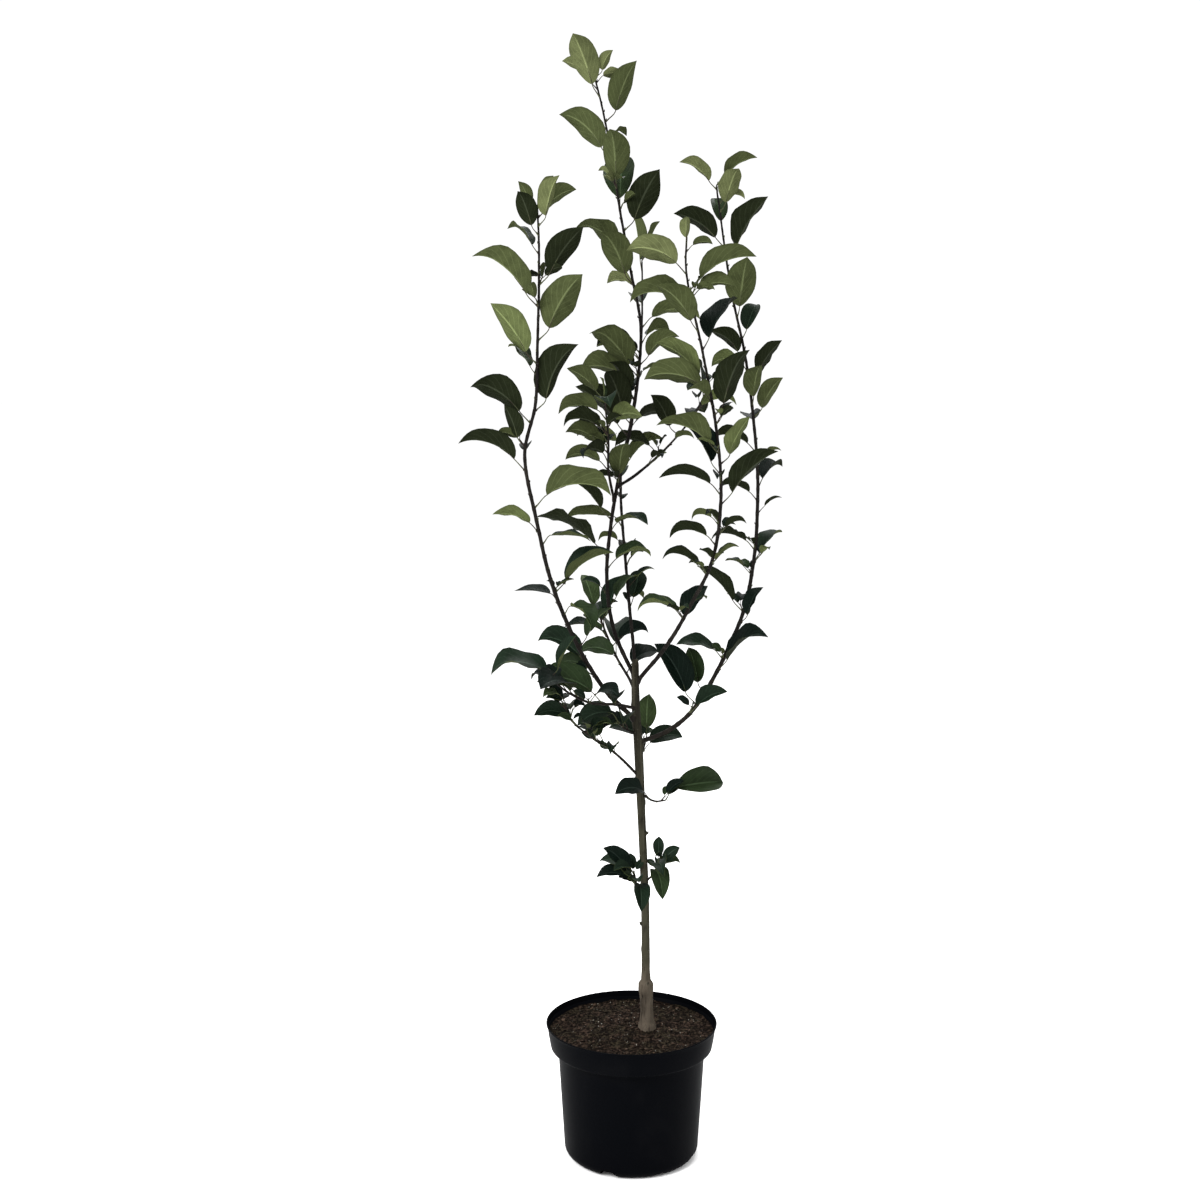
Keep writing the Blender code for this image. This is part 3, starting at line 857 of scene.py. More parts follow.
@dataclass
class Pot:
    """A round nursery pot with a thin lip, a deep collar and drains at its foot.

    The rounded stretches of its outline are steps outwards and upwards: under_ledge from the
    wall's top, shoulder from the collar's foot, bead from the rim, inner_bead from the rim's
    inside and inner_ledge from the inside of the collar's foot.
    """

    height: float = 0.209
    rim_radius: float = 0.130
    collar_depth: float = 0.038
    collar_foot_radius: float = 0.1235
    wall_top_radius: float = 0.112
    wall_foot_radius: float = 0.1025
    corner_radius: float = 0.016
    corner_steps: int = 8
    wall: float = 0.0020
    lip: float = 0.0012
    wall_heights: Sequence[float] = (0.05, 0.09, 0.13, 0.155)
    collar_shares: Sequence[float] = (0.45, 0.80, 0.90)
    under_ledge: Sequence[tuple[float, float]] = (
        (-0.0003, -0.0075),
        (0.0002, -0.0045),
        (0.0016, -0.0028),
    )
    shoulder: Sequence[tuple[float, float]] = (
        (-0.0034, -0.0002),
        (-0.0014, 0.0004),
        (-0.0004, 0.0016),
        (0.0, 0.0034),
    )
    bead: Sequence[tuple[float, float]] = (
        (-0.0010, -0.0026),
        (-0.0001, -0.0018),
        (0.0, -0.0009),
        (-0.0004, -0.0002),
        (-0.0012, 0.0),
    )
    inner_bead: Sequence[tuple[float, float]] = (
        (0.0, -0.0004),
        (-0.0006, -0.0030),
        (-0.0014, -0.0085),
        (-0.0022, -0.0095),
    )
    inner_ledge: Sequence[tuple[float, float]] = ((0.0, 0.0060), (-0.0025, 0.0004))
    inner_wall_drop: float = 0.0030
    floor_middle: float = 0.004
    sides: int = 144
    smooth_below: float = 28.0
    drains: int = 4
    first_drain: float = math.radians(-112.0)
    drain_size: Point = (0.036, 0.026, 0.024)
    drain_start: float = -0.0125
    drain_rounding: float = 0.36
    drain_steps: int = 4

    def ledge(self) -> float:
        """The height of the collar's foot."""
        return self.height - self.collar_depth

    def outer(self) -> list[tuple[float, float]]:
        """Radius and height of the outside, from the flat foot to the lip."""
        side = []
        centre = self.wall_foot_radius - self.corner_radius
        for step in range(self.corner_steps + 1):
            angle = math.radians(90.0 * step / self.corner_steps)
            radius = centre + self.corner_radius * math.sin(angle)
            side.append((radius, self.corner_radius * (1.0 - math.cos(angle))))
        ledge = self.ledge()
        slope = (self.wall_top_radius - self.wall_foot_radius) / (ledge - self.corner_radius)
        for height in self.wall_heights:
            side.append((self.wall_foot_radius + slope * (height - self.corner_radius), height))
        side += [(self.wall_top_radius + out, ledge + up) for out, up in self.under_ledge]
        side += [(self.collar_foot_radius + out, ledge + up) for out, up in self.shoulder]
        rise = self.height - self.lip - ledge
        for share in self.collar_shares:
            spread = (self.rim_radius - self.lip - self.collar_foot_radius) * share
            side.append((self.collar_foot_radius + spread, ledge + rise * share))
        side += [(self.rim_radius + out, self.height + up) for out, up in self.bead]
        return side

    def inner(self) -> list[tuple[float, float]]:
        """Radius and height of the inside, from the lip down to the floor."""
        rim = self.rim_radius - self.wall
        collar = self.collar_foot_radius - self.wall
        under = self.ledge() + self.wall
        side = [(rim + out, self.height + up) for out, up in self.inner_bead]
        side += [(collar + out, under + up) for out, up in self.inner_ledge]
        side += [
            (self.wall_top_radius - self.wall, under - self.inner_wall_drop),
            (self.wall_foot_radius - self.wall, self.corner_radius),
            (self.wall_foot_radius - self.corner_radius, self.wall),
            (self.floor_middle, self.wall),
        ]
        return side

    def build(self) -> bpy.types.Object:
        """Turns the pot and cuts its drains.

        Returns:
            The pot, which stands for its solid.
        """
        pot = lathe("nursery_pot", [*self.outer(), *self.inner()], self.sides)
        reach = self.wall_foot_radius - self.corner_radius + self.drain_start
        for i in range(self.drains):
            self.cut_drain(pot, self.first_drain + 2.0 * math.pi * i / self.drains, reach)
        smooth(pot, self.smooth_below)
        return dress(pot, SatinBlackPlastic(), "black_plastic", "pot")

    def cut_drain(self, pot: bpy.types.Object, angle: float, reach: float) -> None:
        """Cuts one drain with rounded shoulders where the floor meets the wall.

        Args:
            pot: The turned pot.
            angle: The drain's direction, from +X.
            reach: How far from the middle it starts.
        """
        deselect_all()
        bpy.ops.mesh.primitive_cube_add(size=1.0, scale=self.drain_size)
        cutter = bpy.context.object
        cutter.data.transform(Matrix.Diagonal((*cutter.scale, 1.0)))
        cutter.scale = (1.0, 1.0, 1.0)
        length, _, height = self.drain_size
        middle = (reach + length / 2.0, 0.0, 0.0)
        cutter.data.transform(Matrix.Rotation(angle, 4, "Z") @ Matrix.Translation(middle))
        rounded = cutter.modifiers.new("shoulders", "BEVEL")
        rounded.width = height * self.drain_rounding
        rounded.segments = self.drain_steps
        take_up(cutter)
        bpy.ops.object.modifier_apply(modifier=rounded.name)
        take_up(pot)
        cut = pot.modifiers.new("drain", "BOOLEAN")
        cut.operation = "DIFFERENCE"
        cut.solver = "EXACT"
        cut.object = cutter
        bpy.ops.object.modifier_apply(modifier=cut.name)
        bpy.data.objects.remove(cutter)


@dataclass(frozen=True)
class Litter:
    """One kind of bit that lies loose on the soil.

    Its widths and its flatness are shares of a bit's length.
    """

    name: str
    finish: SoilBit
    count: int
    lengths: tuple[float, float]
    widths: tuple[float, float]
    flatness: float


LITTER: Sequence[Litter] = (
    Litter(
        name="bark_chips",
        finish=SoilBit("bark_chip_brown", (0.0050, 0.0033, 0.0024), (0.052, 0.034, 0.024)),
        count=560,
        lengths=(0.0030, 0.0092),
        widths=(0.34, 0.80),
        flatness=0.26,
    ),
    Litter(
        name="peat_crumbs",
        finish=SoilBit("peat_crumb", (0.0014, 0.0010, 0.0007), (0.0120, 0.0080, 0.0055)),
        count=1400,
        lengths=(0.0014, 0.0042),
        widths=(0.60, 0.95),
        flatness=0.62,
    ),
    Litter(
        name="pale_fibres",
        finish=SoilBit("pale_fibre", (0.030, 0.027, 0.021), (0.21, 0.20, 0.17)),
        count=300,
        lengths=(0.0018, 0.0052),
        widths=(0.16, 0.55),
        flatness=0.14,
    ),
)


@dataclass
class Soil:
    """The soil that fills the pot, and what lies loose on it."""

    pot: Pot
    top: float = 0.200
    edge: float = 0.196
    flat_radius: float = 0.050
    clearance: float = 0.0003
    lip_clearance: float = 0.0009
    floor_clearance: float = 0.001
    wall_clearance: float = 0.0032
    collar_clearance: float = 0.0060
    shoulder_rise: float = 0.006
    corner_rise: float = 0.002
    edge_depth: float = 0.004
    surface_below: float = 0.002
    sides: int = 120
    rings: int = 46
    sunk: float = 0.0022
    lump: float = 0.0026
    lump_scale: float = 46.0
    lump_layers: tuple[float, float, int] = (0.8, 2.1, 4)
    lump_share: float = 0.75
    grit_scale: float = 240.0
    grit_layers: tuple[float, float, int] = (0.9, 2.0, 3)
    grit_share: float = 0.62
    bank_width: float = 0.010
    bank_height: float = 0.0016
    smooth_below: float = 60.0
    trunk_place: tuple[float, float] = (0.024, 0.0)
    trunk_clearance: float = 0.014
    bit_shapes: int = 3
    bit_stray: tuple[float, float] = (0.72, 1.12)
    bit_shortening: tuple[float, float] = (0.6, 1.0)
    bit_margin: float = 0.003
    bit_lift: float = 0.22
    bit_tip: float = 0.5
    bit_tilt: float = 0.4
    bit_smooth_below: float = 40.0

    def edge_radius(self) -> float:
        """The soil's radius where it meets the pot's inside."""
        pot = self.pot
        share = (pot.height - self.edge) / pot.collar_depth
        slope = pot.rim_radius - pot.collar_foot_radius
        return pot.rim_radius - pot.wall - self.clearance - slope * share - self.lip_clearance

    def height_at(self, x: float, y: float) -> float:
        """How high the soil's surface lies at a place.

        Args:
            x: Across.
            y: Back.

        Returns:
            Its height, with its mound, its lumps and grit, and the bank along the pot's wall.
        """
        radius = math.hypot(x, y)
        reach = self.edge_radius()
        share = eased((radius - self.flat_radius) / (reach - self.flat_radius))
        mound = self.top - self.sunk - (self.top - self.edge) * share
        place = Vector((x, y, 0.0))
        lumps = noise.fractal(place * self.lump_scale, *self.lump_layers) * self.lump
        grit = noise.fractal(place * self.grit_scale, *self.grit_layers) * self.lump
        bank = eased((radius - reach + self.bank_width) / self.bank_width) * self.bank_height
        return mound + lumps * self.lump_share + grit * self.grit_share + bank

    def build(self) -> list[bpy.types.Object]:
        """Fills the pot and strews the surface.

        Returns:
            The bed of soil and its loose bits.
        """
        pot = self.pot
        reach = self.edge_radius()
        shoulder = pot.collar_foot_radius - self.collar_clearance
        stations = [
            (pot.wall_foot_radius - pot.corner_radius, pot.wall + self.floor_clearance),
            (pot.wall_foot_radius - self.wall_clearance, pot.corner_radius + self.corner_rise),
            (pot.wall_top_radius - self.wall_clearance, pot.ledge()),
            (shoulder, pot.ledge() + self.shoulder_rise),
            (reach, self.edge - self.edge_depth),
            (reach, self.edge),
        ]
        for ring in range(1, self.rings):
            stations.append((reach * (1.0 - ring / self.rings), self.top))
        bed = lathe("soil_bed", stations, self.sides)
        for vertex in bed.data.vertices:
            if vertex.co.z > self.edge - self.surface_below:
                vertex.co.z = self.height_at(vertex.co.x, vertex.co.y)
        smooth(bed, self.smooth_below)
        dress(bed, CrumblySoil(), "potting_soil", "soil")
        return [bed, *(self.strew(litter) for litter in LITTER)]

    def strew(self, litter: Litter) -> bpy.types.Object:
        """Strews one kind of bit over the soil, copied from a few that are shaped once.

        Args:
            litter: The kind of bit.

        Returns:
            The strewn bits as one piece.
        """
        draw = random.Random(f"strewn {litter.name}")
        shapes = [self.shape_bit(f"{litter.name}_{i}", draw) for i in range(self.bit_shapes)]
        reach = self.edge_radius() - self.bit_margin
        copies = []
        while len(copies) < litter.count:
            radius = reach * math.sqrt(draw.random())
            angle = draw.uniform(-math.pi, math.pi)
            x, y = radius * math.cos(angle), radius * math.sin(angle)
            length = draw.uniform(*litter.lengths) * draw.uniform(*self.bit_shortening)
            from_trunk = math.hypot(x - self.trunk_place[0], y - self.trunk_place[1])
            if from_trunk < self.trunk_clearance:
                continue
            copy = copy_of(draw.choice(shapes), litter.name)
            height = length * litter.flatness
            foot = self.height_at(x, y) + height * self.bit_lift
            lie = Matrix.Translation((x, y, foot))
            lie = lie @ Matrix.Rotation(draw.uniform(-math.pi, math.pi), 4, "Z")
            lie = lie @ Matrix.Rotation(draw.uniform(-self.bit_tip, self.bit_tip), 4, "X")
            lie = lie @ Matrix.Rotation(draw.uniform(-self.bit_tilt, self.bit_tilt), 4, "Y")
            size = (length, length * draw.uniform(*litter.widths), height, 1.0)
            copy.data.transform(lie @ Matrix.Diagonal(size))
            copies.append(copy)
        for shape in shapes:
            bpy.data.objects.remove(shape)
        strewn = join(litter.name, copies)
        smooth(strewn, self.bit_smooth_below)
        return dress(strewn, litter.finish, "potting_soil")

    def shape_bit(self, name: str, draw: random.Random) -> bpy.types.Object:
        """Shapes one rough bit, a unit long.

        Args:
            name: The bit's name.
            draw: The random numbers that it takes.

        Returns:
            The bit.
        """
        deselect_all()
        bpy.ops.mesh.primitive_ico_sphere_add(subdivisions=1, radius=0.5)
        bit = bpy.context.object
        bit.name = name
        for vertex in bit.data.vertices:
            vertex.co *= draw.uniform(*self.bit_stray)
        return bit


@dataclass(frozen=True)
class TrunkRelief:
    """How far the trunk's bark stands out from a smooth tube.

    Heights are above the trunk's foot. A pair of scales is round the trunk and up it. A pair
    of rises is what the bark has everywhere, and what the old wood near the foot has besides.
    A knot is a height, an angle and a rise.
    """

    ridge_scale: tuple[float, float] = (3.4, 42.0)
    ridge_layers: tuple[float, float, int] = (0.9, 2.0, 4)
    ridge_rises: tuple[float, float] = (0.00016, 0.00034)
    lump_scale: tuple[float, float] = (1.1, 17.0)
    lump_rises: tuple[float, float] = (0.00025, 0.0005)
    lump_place: float = 5.0
    old_height: float = 0.05
    flare_height: float = 0.022
    flare_rise: float = 0.0011
    flare_lobes: float = 4.0
    flare_turn: float = 0.8
    union_height: float = 0.059
    union_reach: float = 0.006
    union_rise: float = 0.0009
    union_side: float = 2.7
    lip_height: float = 0.069
    lip_reach: float = 0.0022
    lip_rise: float = 0.0008
    lip_evenness: float = 0.6
    knot_reach: float = 0.0052
    knot_turn: float = 0.75
    knot_share: float = 0.62
    knots: Sequence[tuple[float, float, float]] = (
        (0.122, 2.6, 0.0016),
        (0.205, 3.3, 0.0020),
        (0.214, 0.1, 0.0016),
        (0.290, 1.6, 0.0013),
        (0.352, 0.2, 0.0020),
        (0.386, 3.2, 0.0024),
        (0.440, 0.0, 0.0026),
        (0.474, 2.9, 0.0022),
        (0.500, 3.4, 0.0020),
    )
    axis_reach: float = 1e-5

    def move(self, out: Vector, height: float) -> Vector:
        """The move that gives the bark its relief at a point.

        Args:
            out: The level way from the trunk's middle to the point.
            height: How high above the trunk's foot the point is.

        Returns:
            The move, which is none in the middle of the trunk's ends.
        """
        if out.length < self.axis_reach:
            return Vector()
        angle = math.atan2(out.y, out.x)
        around = Vector((math.cos(angle), math.sin(angle), 0.0))
        round_scale, high_scale = self.ridge_scale
        spot = around * round_scale + Vector((0, 0, height * high_scale))
        ridges = noise.fractal(spot, *self.ridge_layers)
        round_scale, high_scale = self.lump_scale
        spot = around * round_scale + Vector((self.lump_place, 0, height * high_scale))
        lumps = noise.noise(spot)
        old = 1.0 - eased((height - self.old_height) / self.old_height)
        rise = ridges * (self.ridge_rises[0] + self.ridge_rises[1] * old)
        rise += lumps * (self.lump_rises[0] + self.lump_rises[1] * old)
        flare = 1.0 - eased(height / self.flare_height)
        lobes = math.cos(angle * self.flare_lobes + self.flare_turn)
        rise += flare * self.flare_rise * lobes
        seam = math.exp(-(((height - self.union_height) / self.union_reach) ** 2))
        rise += seam * self.union_rise * (0.5 + 0.5 * math.cos(angle - self.union_side))
        lip = math.exp(-(((height - self.lip_height) / self.lip_reach) ** 2))
        rise += self.lip_rise * lip * (self.lip_evenness + lumps)
        for knot_height, knot_angle, size in self.knots:
            turn = math.remainder(angle - knot_angle, 2.0 * math.pi)
            off = ((height - knot_height) / self.knot_reach) ** 2 + (turn / self.knot_turn) ** 2
            rise += size * self.knot_share * math.exp(-off)
        return out.normalized() * rise


@dataclass
class Trunk:
    """The grafted trunk: flared foot, rootstock, union, young wood and pruned stubs.

    The girth is a row of distances up the trunk, each with its radius. A stub is a distance
    up the trunk and a heading in degrees.
    """

    route: Sequence[Point] = (
        (0.024, 0.000, 0.2003),
        (0.022, 0.001, 0.260),
        (0.020, 0.002, 0.400),
        (0.013, 0.000, 0.556),
        (0.009, 0.000, 0.640),
        (0.005, 0.000, 0.704),
        (0.004, 0.000, 0.770),
    )
    girth: Sequence[tuple[float, float]] = (
        (0.000, 0.0130),
        (0.010, 0.0108),
        (0.026, 0.0098),
        (0.048, 0.0102),
        (0.059, 0.0110),
        (0.067, 0.0112),
        (0.071, 0.0098),
        (0.075, 0.0074),
        (0.090, 0.0065),
        (0.300, 0.0060),
        (0.440, 0.0068),
        (0.505, 0.0060),
        (0.562, 0.0056),
        (0.570, 0.0042),
    )
    step: float = 0.0022
    rounding: int = 12
    sink: float = 0.004
    smooth_below: float = 50.0
    relief: TrunkRelief = TrunkRelief()
    stubs: Sequence[tuple[float, float]] = ((0.158, 196.0), (0.300, -20.0))
    stub_rise: float = math.radians(38.0)
    stub_marks: Sequence[float] = (0.0, 0.0048, 0.0064, 0.0082, 0.0098, 0.0106, 0.0103)
    stub_radii: Sequence[float] = (0.0040, 0.0036, 0.0029, 0.0026, 0.0027, 0.0024, 0.0012)
    stub_rounding: int = 4

    def build(self) -> bpy.types.Object:
        """Sweeps the trunk and gives it its relief.

        Returns:
            The trunk, which stands for its solid.
        """
        path = Path(self.route)
        count = round(path.length / self.step)
        distances = [path.length * i / count for i in range(count + 1)]
        points = [path.at(distance) for distance in distances]
        points[0] = points[0] - Vector((0.0, 0.0, self.sink))
        radii = [between(self.girth, distance) for distance in distances]
        trunk = sweep("trunk_bark", points, radii, self.rounding)
        foot = self.route[0][2]
        for vertex in trunk.data.vertices:
            middle = min(points, key=lambda point: abs(point.z - vertex.co.z))
            out = Vector((vertex.co.x - middle.x, vertex.co.y - middle.y, 0.0))
            vertex.co += self.relief.move(out, vertex.co.z - foot)
        stubs = [self.stub(path, distance, heading) for distance, heading in self.stubs]
        trunk = join("trunk_bark", [trunk, *stubs])
        smooth(trunk, self.smooth_below)
        return dress(trunk, TRUNK_BARK, "trunk_bark", "trunk")

    def stub(self, path: Path, distance: float, heading: float) -> bpy.types.Object:
        """A short pruned stub with a callus round its cut.

        Args:
            path: The trunk's path.
            distance: How far up the trunk it stands.
            heading: Where it points, in degrees from +X.

        Returns:
            The stub, its root inside the trunk.
        """
        root = path.at(distance)
        along = forward(self.stub_rise, math.radians(heading))
        points = [root + along * mark for mark in self.stub_marks]
        return sweep("stub", points, self.stub_radii, self.stub_rounding)


class Size(Enum):
    """The length of a leaf's blade, by the letter in its code."""

    SMALL = ("s", 0.032)
    MIDDLE = ("m", 0.056)
    LONG = ("l", 0.082)
    LONGEST = ("x", 0.098)

    @classmethod
    def length_of(cls, letter: str) -> float:
        """The blade length that a letter stands for."""
        return next(size.value[1] for size in cls if size.value[0] == letter)


class Pose(Enum):
    """A blade's rise at its stalk and tip in degrees, and its share of the turn to the light."""

    STEEP = ("^", 76.0, 50.0, 0.8)
    LEANING = ("+", 66.0, 32.0, 0.8)
    RISING = ("/", 58.0, 12.0, 0.8)
    FACING = ("*", 62.0, 24.0, 0.0)
    BENT = ("~", 46.0, -8.0, 0.8)
    ARCHED = ("-", 36.0, -26.0, 0.8)
    LEVEL = ("=", 8.0, -12.0, 1.2)
    HANGING = ("v", 2.0, -64.0, 0.8)

    @classmethod
    def of(cls, mark: str) -> Pose:
        """The pose that a code's mark stands for. A code with no mark is arched."""
        return next(pose for pose in cls if pose.value[0] == (mark or "-"))


@dataclass(frozen=True)
class Shoot:
    """One shoot: a bough as far as its first leaf, and its leafy rest.

    It starts with the radius girth and ends with the radius tip, and bare is how far the bough
    runs. A leaf's code is its heading on a number pad seen from above, its size and its pose.
    A dot is a bare node.
    """

    name: str
    route: Sequence[Point]
    girth: float
    tip: float
    bare: float
    leaves: str
    taper: float = 0.8

    def radius(self, path: Path, distance: float) -> float:
        """The shoot's radius at a distance along its path."""
        share = min(1.0, distance / path.length)
        return self.tip + (self.girth - self.tip) * (1.0 - share) ** self.taper


SHOOTS: Sequence[Shoot] = (
    Shoot(
        "leader",
        (
            (0.004, 0.000, 0.741), (-0.028, 0.000, 0.816), (-0.038, 0.004, 0.904),
            (-0.025, 0.000, 1.015), (-0.002, -0.004, 1.122), (0.011, 0.000, 1.243),
            (-0.004, 0.004, 1.336), (-0.021, 0.000, 1.429), (-0.038, -0.004, 1.530),
            (-0.055, -0.010, 1.602),
        ),
        0.0032, 0.0012, 0.104,
        "9m* 4s~ . 6m 4x~ . 3m 4l/ . . 2m^ . . . 4l/ 1l^ . 1m^ 4l 4l/ 6m/ 4m . . . . . "
        "4l^ . 4l/ . . 6l^ . 8l* . 2l^ . . 4l/ . 9s . 6l^ . . 1l^ 4m/ 6s 6s^",
    ),
    Shoot(
        "left",
        (
            (0.003, 0.000, 0.680), (-0.041, -0.020, 0.728), (-0.081, -0.050, 0.800),
            (-0.117, -0.080, 0.895), (-0.139, -0.100, 0.996), (-0.153, -0.108, 1.079),
            (-0.137, -0.118, 1.150), (-0.134, -0.120, 1.228), (-0.131, -0.125, 1.345),
            (-0.133, -0.130, 1.419),
        ),
        0.0037, 0.0012, 0.062,
        ". 4m 4l~ . 9m* . . 3mv 4m= 6l/ . . . 6m= 4m . 6x . . 4l~ 8s 1m^ . 4l/ 6l^ . . "
        "7m* 4l+ . 6l^ . . 4x/ . 6l+ . . 7m* . 1m^ 2m^ 6m/ 4s^ 6s^",
    ),
    Shoot(
        "far_right",
        (
            (0.010, 0.000, 0.644), (0.057, 0.020, 0.659), (0.099, 0.040, 0.694),
            (0.142, 0.060, 0.767), (0.174, 0.080, 0.844), (0.189, 0.095, 0.942),
            (0.189, 0.100, 1.057), (0.173, 0.110, 1.198), (0.149, 0.120, 1.311),
            (0.130, 0.125, 1.434), (0.126, 0.125, 1.466),
        ),
        0.0036, 0.0012, 0.080,
        "6m/ 4l^ 7m^ . 6l/ 4m . . 6m^ 4l* . . 4s~ 9m/ 4m . . 6s/ 4m 9m~ . 6s/ 4m . 8m "
        "6m^ 2m^ . 6m+ 7m 4m/ . 9m* . 2l^ . . . . . 6l^ 4l/ . 8m* . 3m^ 6s . 4m/ 6m/",
    ),
    Shoot(
        "inner_right",
        (
            (0.006, 0.000, 0.735), (0.050, -0.020, 0.794), (0.083, -0.040, 0.856),
            (0.113, -0.060, 0.925), (0.123, -0.070, 1.000), (0.119, -0.080, 1.088),
            (0.098, -0.090, 1.207), (0.072, -0.100, 1.323), (0.071, -0.100, 1.380),
        ),
        0.0032, 0.0012, 0.100,
        "9m* 4m 6s . . . 4m~ 6s/ . 4m 6s~ 4s . 6l+ 4l 2s 7l* 6m^ 4l~ . . 9s* 3l^ 1m 4l "
        "4l/ . . . 9l* . 1l/ . 4l . 6m 6l~ . 4l~ . . 6s 2s^ . .",
    ),
    Shoot(
        "back",
        (
            (0.004, 0.000, 0.756), (-0.003, 0.018, 0.836), (-0.012, 0.050, 0.934),
            (-0.017, 0.070, 1.037), (-0.002, 0.085, 1.118), (0.012, 0.095, 1.207),
            (0.015, 0.100, 1.296), (0.014, 0.100, 1.354),
        ),
        0.0026, 0.0012, 0.080,
        "7m* 6s/ 8m 4s 4l= 8s 8m 6m/ 4m 9m 7m 8m 9s 4m 9m 6l 8m 7m . 8l^ 9m^",
    ),
    Shoot(
        "central_left",
        (
            (-0.027, 0.000, 1.004), (-0.036, -0.028, 1.052), (-0.036, -0.050, 1.099),
            (-0.042, -0.062, 1.154),
        ),
        0.0020, 0.0011, 0.045,
        "4m 1m 4m~ 7m 4m 3m 4m 2m 8s^ 4m/",
    ),
    Shoot(
        "central_right",
        (
            (-0.022, 0.000, 1.026), (0.008, 0.020, 1.044), (0.051, 0.045, 1.080),
            (0.088, 0.060, 1.122), (0.106, 0.066, 1.154),
        ),
        0.0022, 0.0011, 0.050,
        "3s 8m 6s 4m^ 9m 6m 3s 8m^",
    ),
    Shoot(
        "front_left",
        (
            (0.006, 0.000, 0.696), (-0.026, -0.040, 0.710), (-0.062, -0.075, 0.720),
            (-0.095, -0.104, 0.742), (-0.118, -0.122, 0.766),
        ),
        0.0025, 0.0012, 0.042,
        "2m 4l 6m 1l 7m 4l 2m^",
    ),
    Shoot(
        "rear",
        (
            (0.006, 0.000, 0.716), (-0.004, 0.045, 0.732), (-0.028, 0.085, 0.768),
            (-0.050, 0.115, 0.819),
        ),
        0.0025, 0.0012, 0.050,
        "9m 7m 8l 6m 4m 8m 9m^ 7m^",
    ),
    Shoot(
        "low_left",
        (
            (0.012, 0.000, 0.590), (-0.028, -0.020, 0.634), (-0.063, -0.045, 0.664),
            (-0.092, -0.060, 0.694), (-0.099, -0.064, 0.720),
        ),
        0.0022, 0.0011, 0.050,
        "2s 7m 1s 6s 4m 8s 4s^ 1s",
    ),
)

SPURS: Sequence[Shoot] = (
    Shoot(
        "mid_left",
        (
            (0.007, 0.000, 0.656), (-0.012, -0.010, 0.668), (-0.020, -0.013, 0.676),
        ),
        0.0018, 0.0011, 0.000,
        "4mv 1m 7mv",
    ),
    Shoot(
        "low_right",
        (
            (0.014, 0.000, 0.566), (0.032, -0.014, 0.558), (0.050, -0.018, 0.560),
        ),
        0.0018, 0.0011, 0.000,
        "1m . 6s/ 6x=",
    ),
    Shoot(
        "low_back",
        (
            (0.011, 0.000, 0.616), (0.018, 0.018, 0.632), (0.022, 0.026, 0.644),
        ),
        0.0018, 0.0011, 0.000,
        "9m 7m 8m^",
    ),
    Shoot(
        "foot_left",
        (
            (0.020, 0.002, 0.406), (0.008, -0.010, 0.424), (0.004, -0.014, 0.446),
        ),
        0.0018, 0.0011, 0.000,
        "1mv 4m 2s 4m+ 4m 1s",
    ),
    Shoot(
        "foot_right",
        (
            (0.019, 0.002, 0.428), (0.034, -0.006, 0.444), (0.040, -0.008, 0.458),
        ),
        0.0018, 0.0011, 0.000,
        "3mv 6s 2m 6s/ 8s^",
    ),
)


@dataclass(frozen=True)
class Blade:
    """Where one leaf stands, and how its stalk and blade bend. Angles are in radians."""

    foot: float
    root: Vector
    inside: float
    heading: float
    rise: float
    droop: float
    sweep: float
    roll: float
    fold: float
    length: float
    width: float
    stalk: float
    stalk_rise: float

    def neck(self) -> Vector:
        """Where the stalk meets the blade."""
        return self.root + forward(self.stalk_rise, self.heading) * (self.stalk + self.inside)

    def azimuth(self, place: float) -> float:
        """Where the blade points at a place along it, from 0 to 1."""
        return self.heading + self.sweep * place

    def along(self, place: float) -> Vector:
        """The blade's direction at a place along it."""
        return forward(self.rise + (self.droop - self.rise) * place, self.azimuth(place))

    def side(self, place: float) -> Vector:
        """The direction across the blade to its left at a place along it."""
        azimuth = self.azimuth(place)
        level = Vector((-math.sin(azimuth), math.cos(azimuth), 0.0))
        return Matrix.Rotation(self.roll, 3, self.along(place)) @ level

    def spine(self, places: Sequence[float]) -> list[Vector]:
        """The midrib's points.

        Args:
            places: Rising places along the blade, the first of them 0.

        Returns:
            The point at each place.
        """
        points = [self.neck()]
        for before, after in zip(places, places[1:]):
            stretch = (after - before) * self.length
            points.append(points[-1] + self.along((before + after) / 2.0) * stretch)
        return points


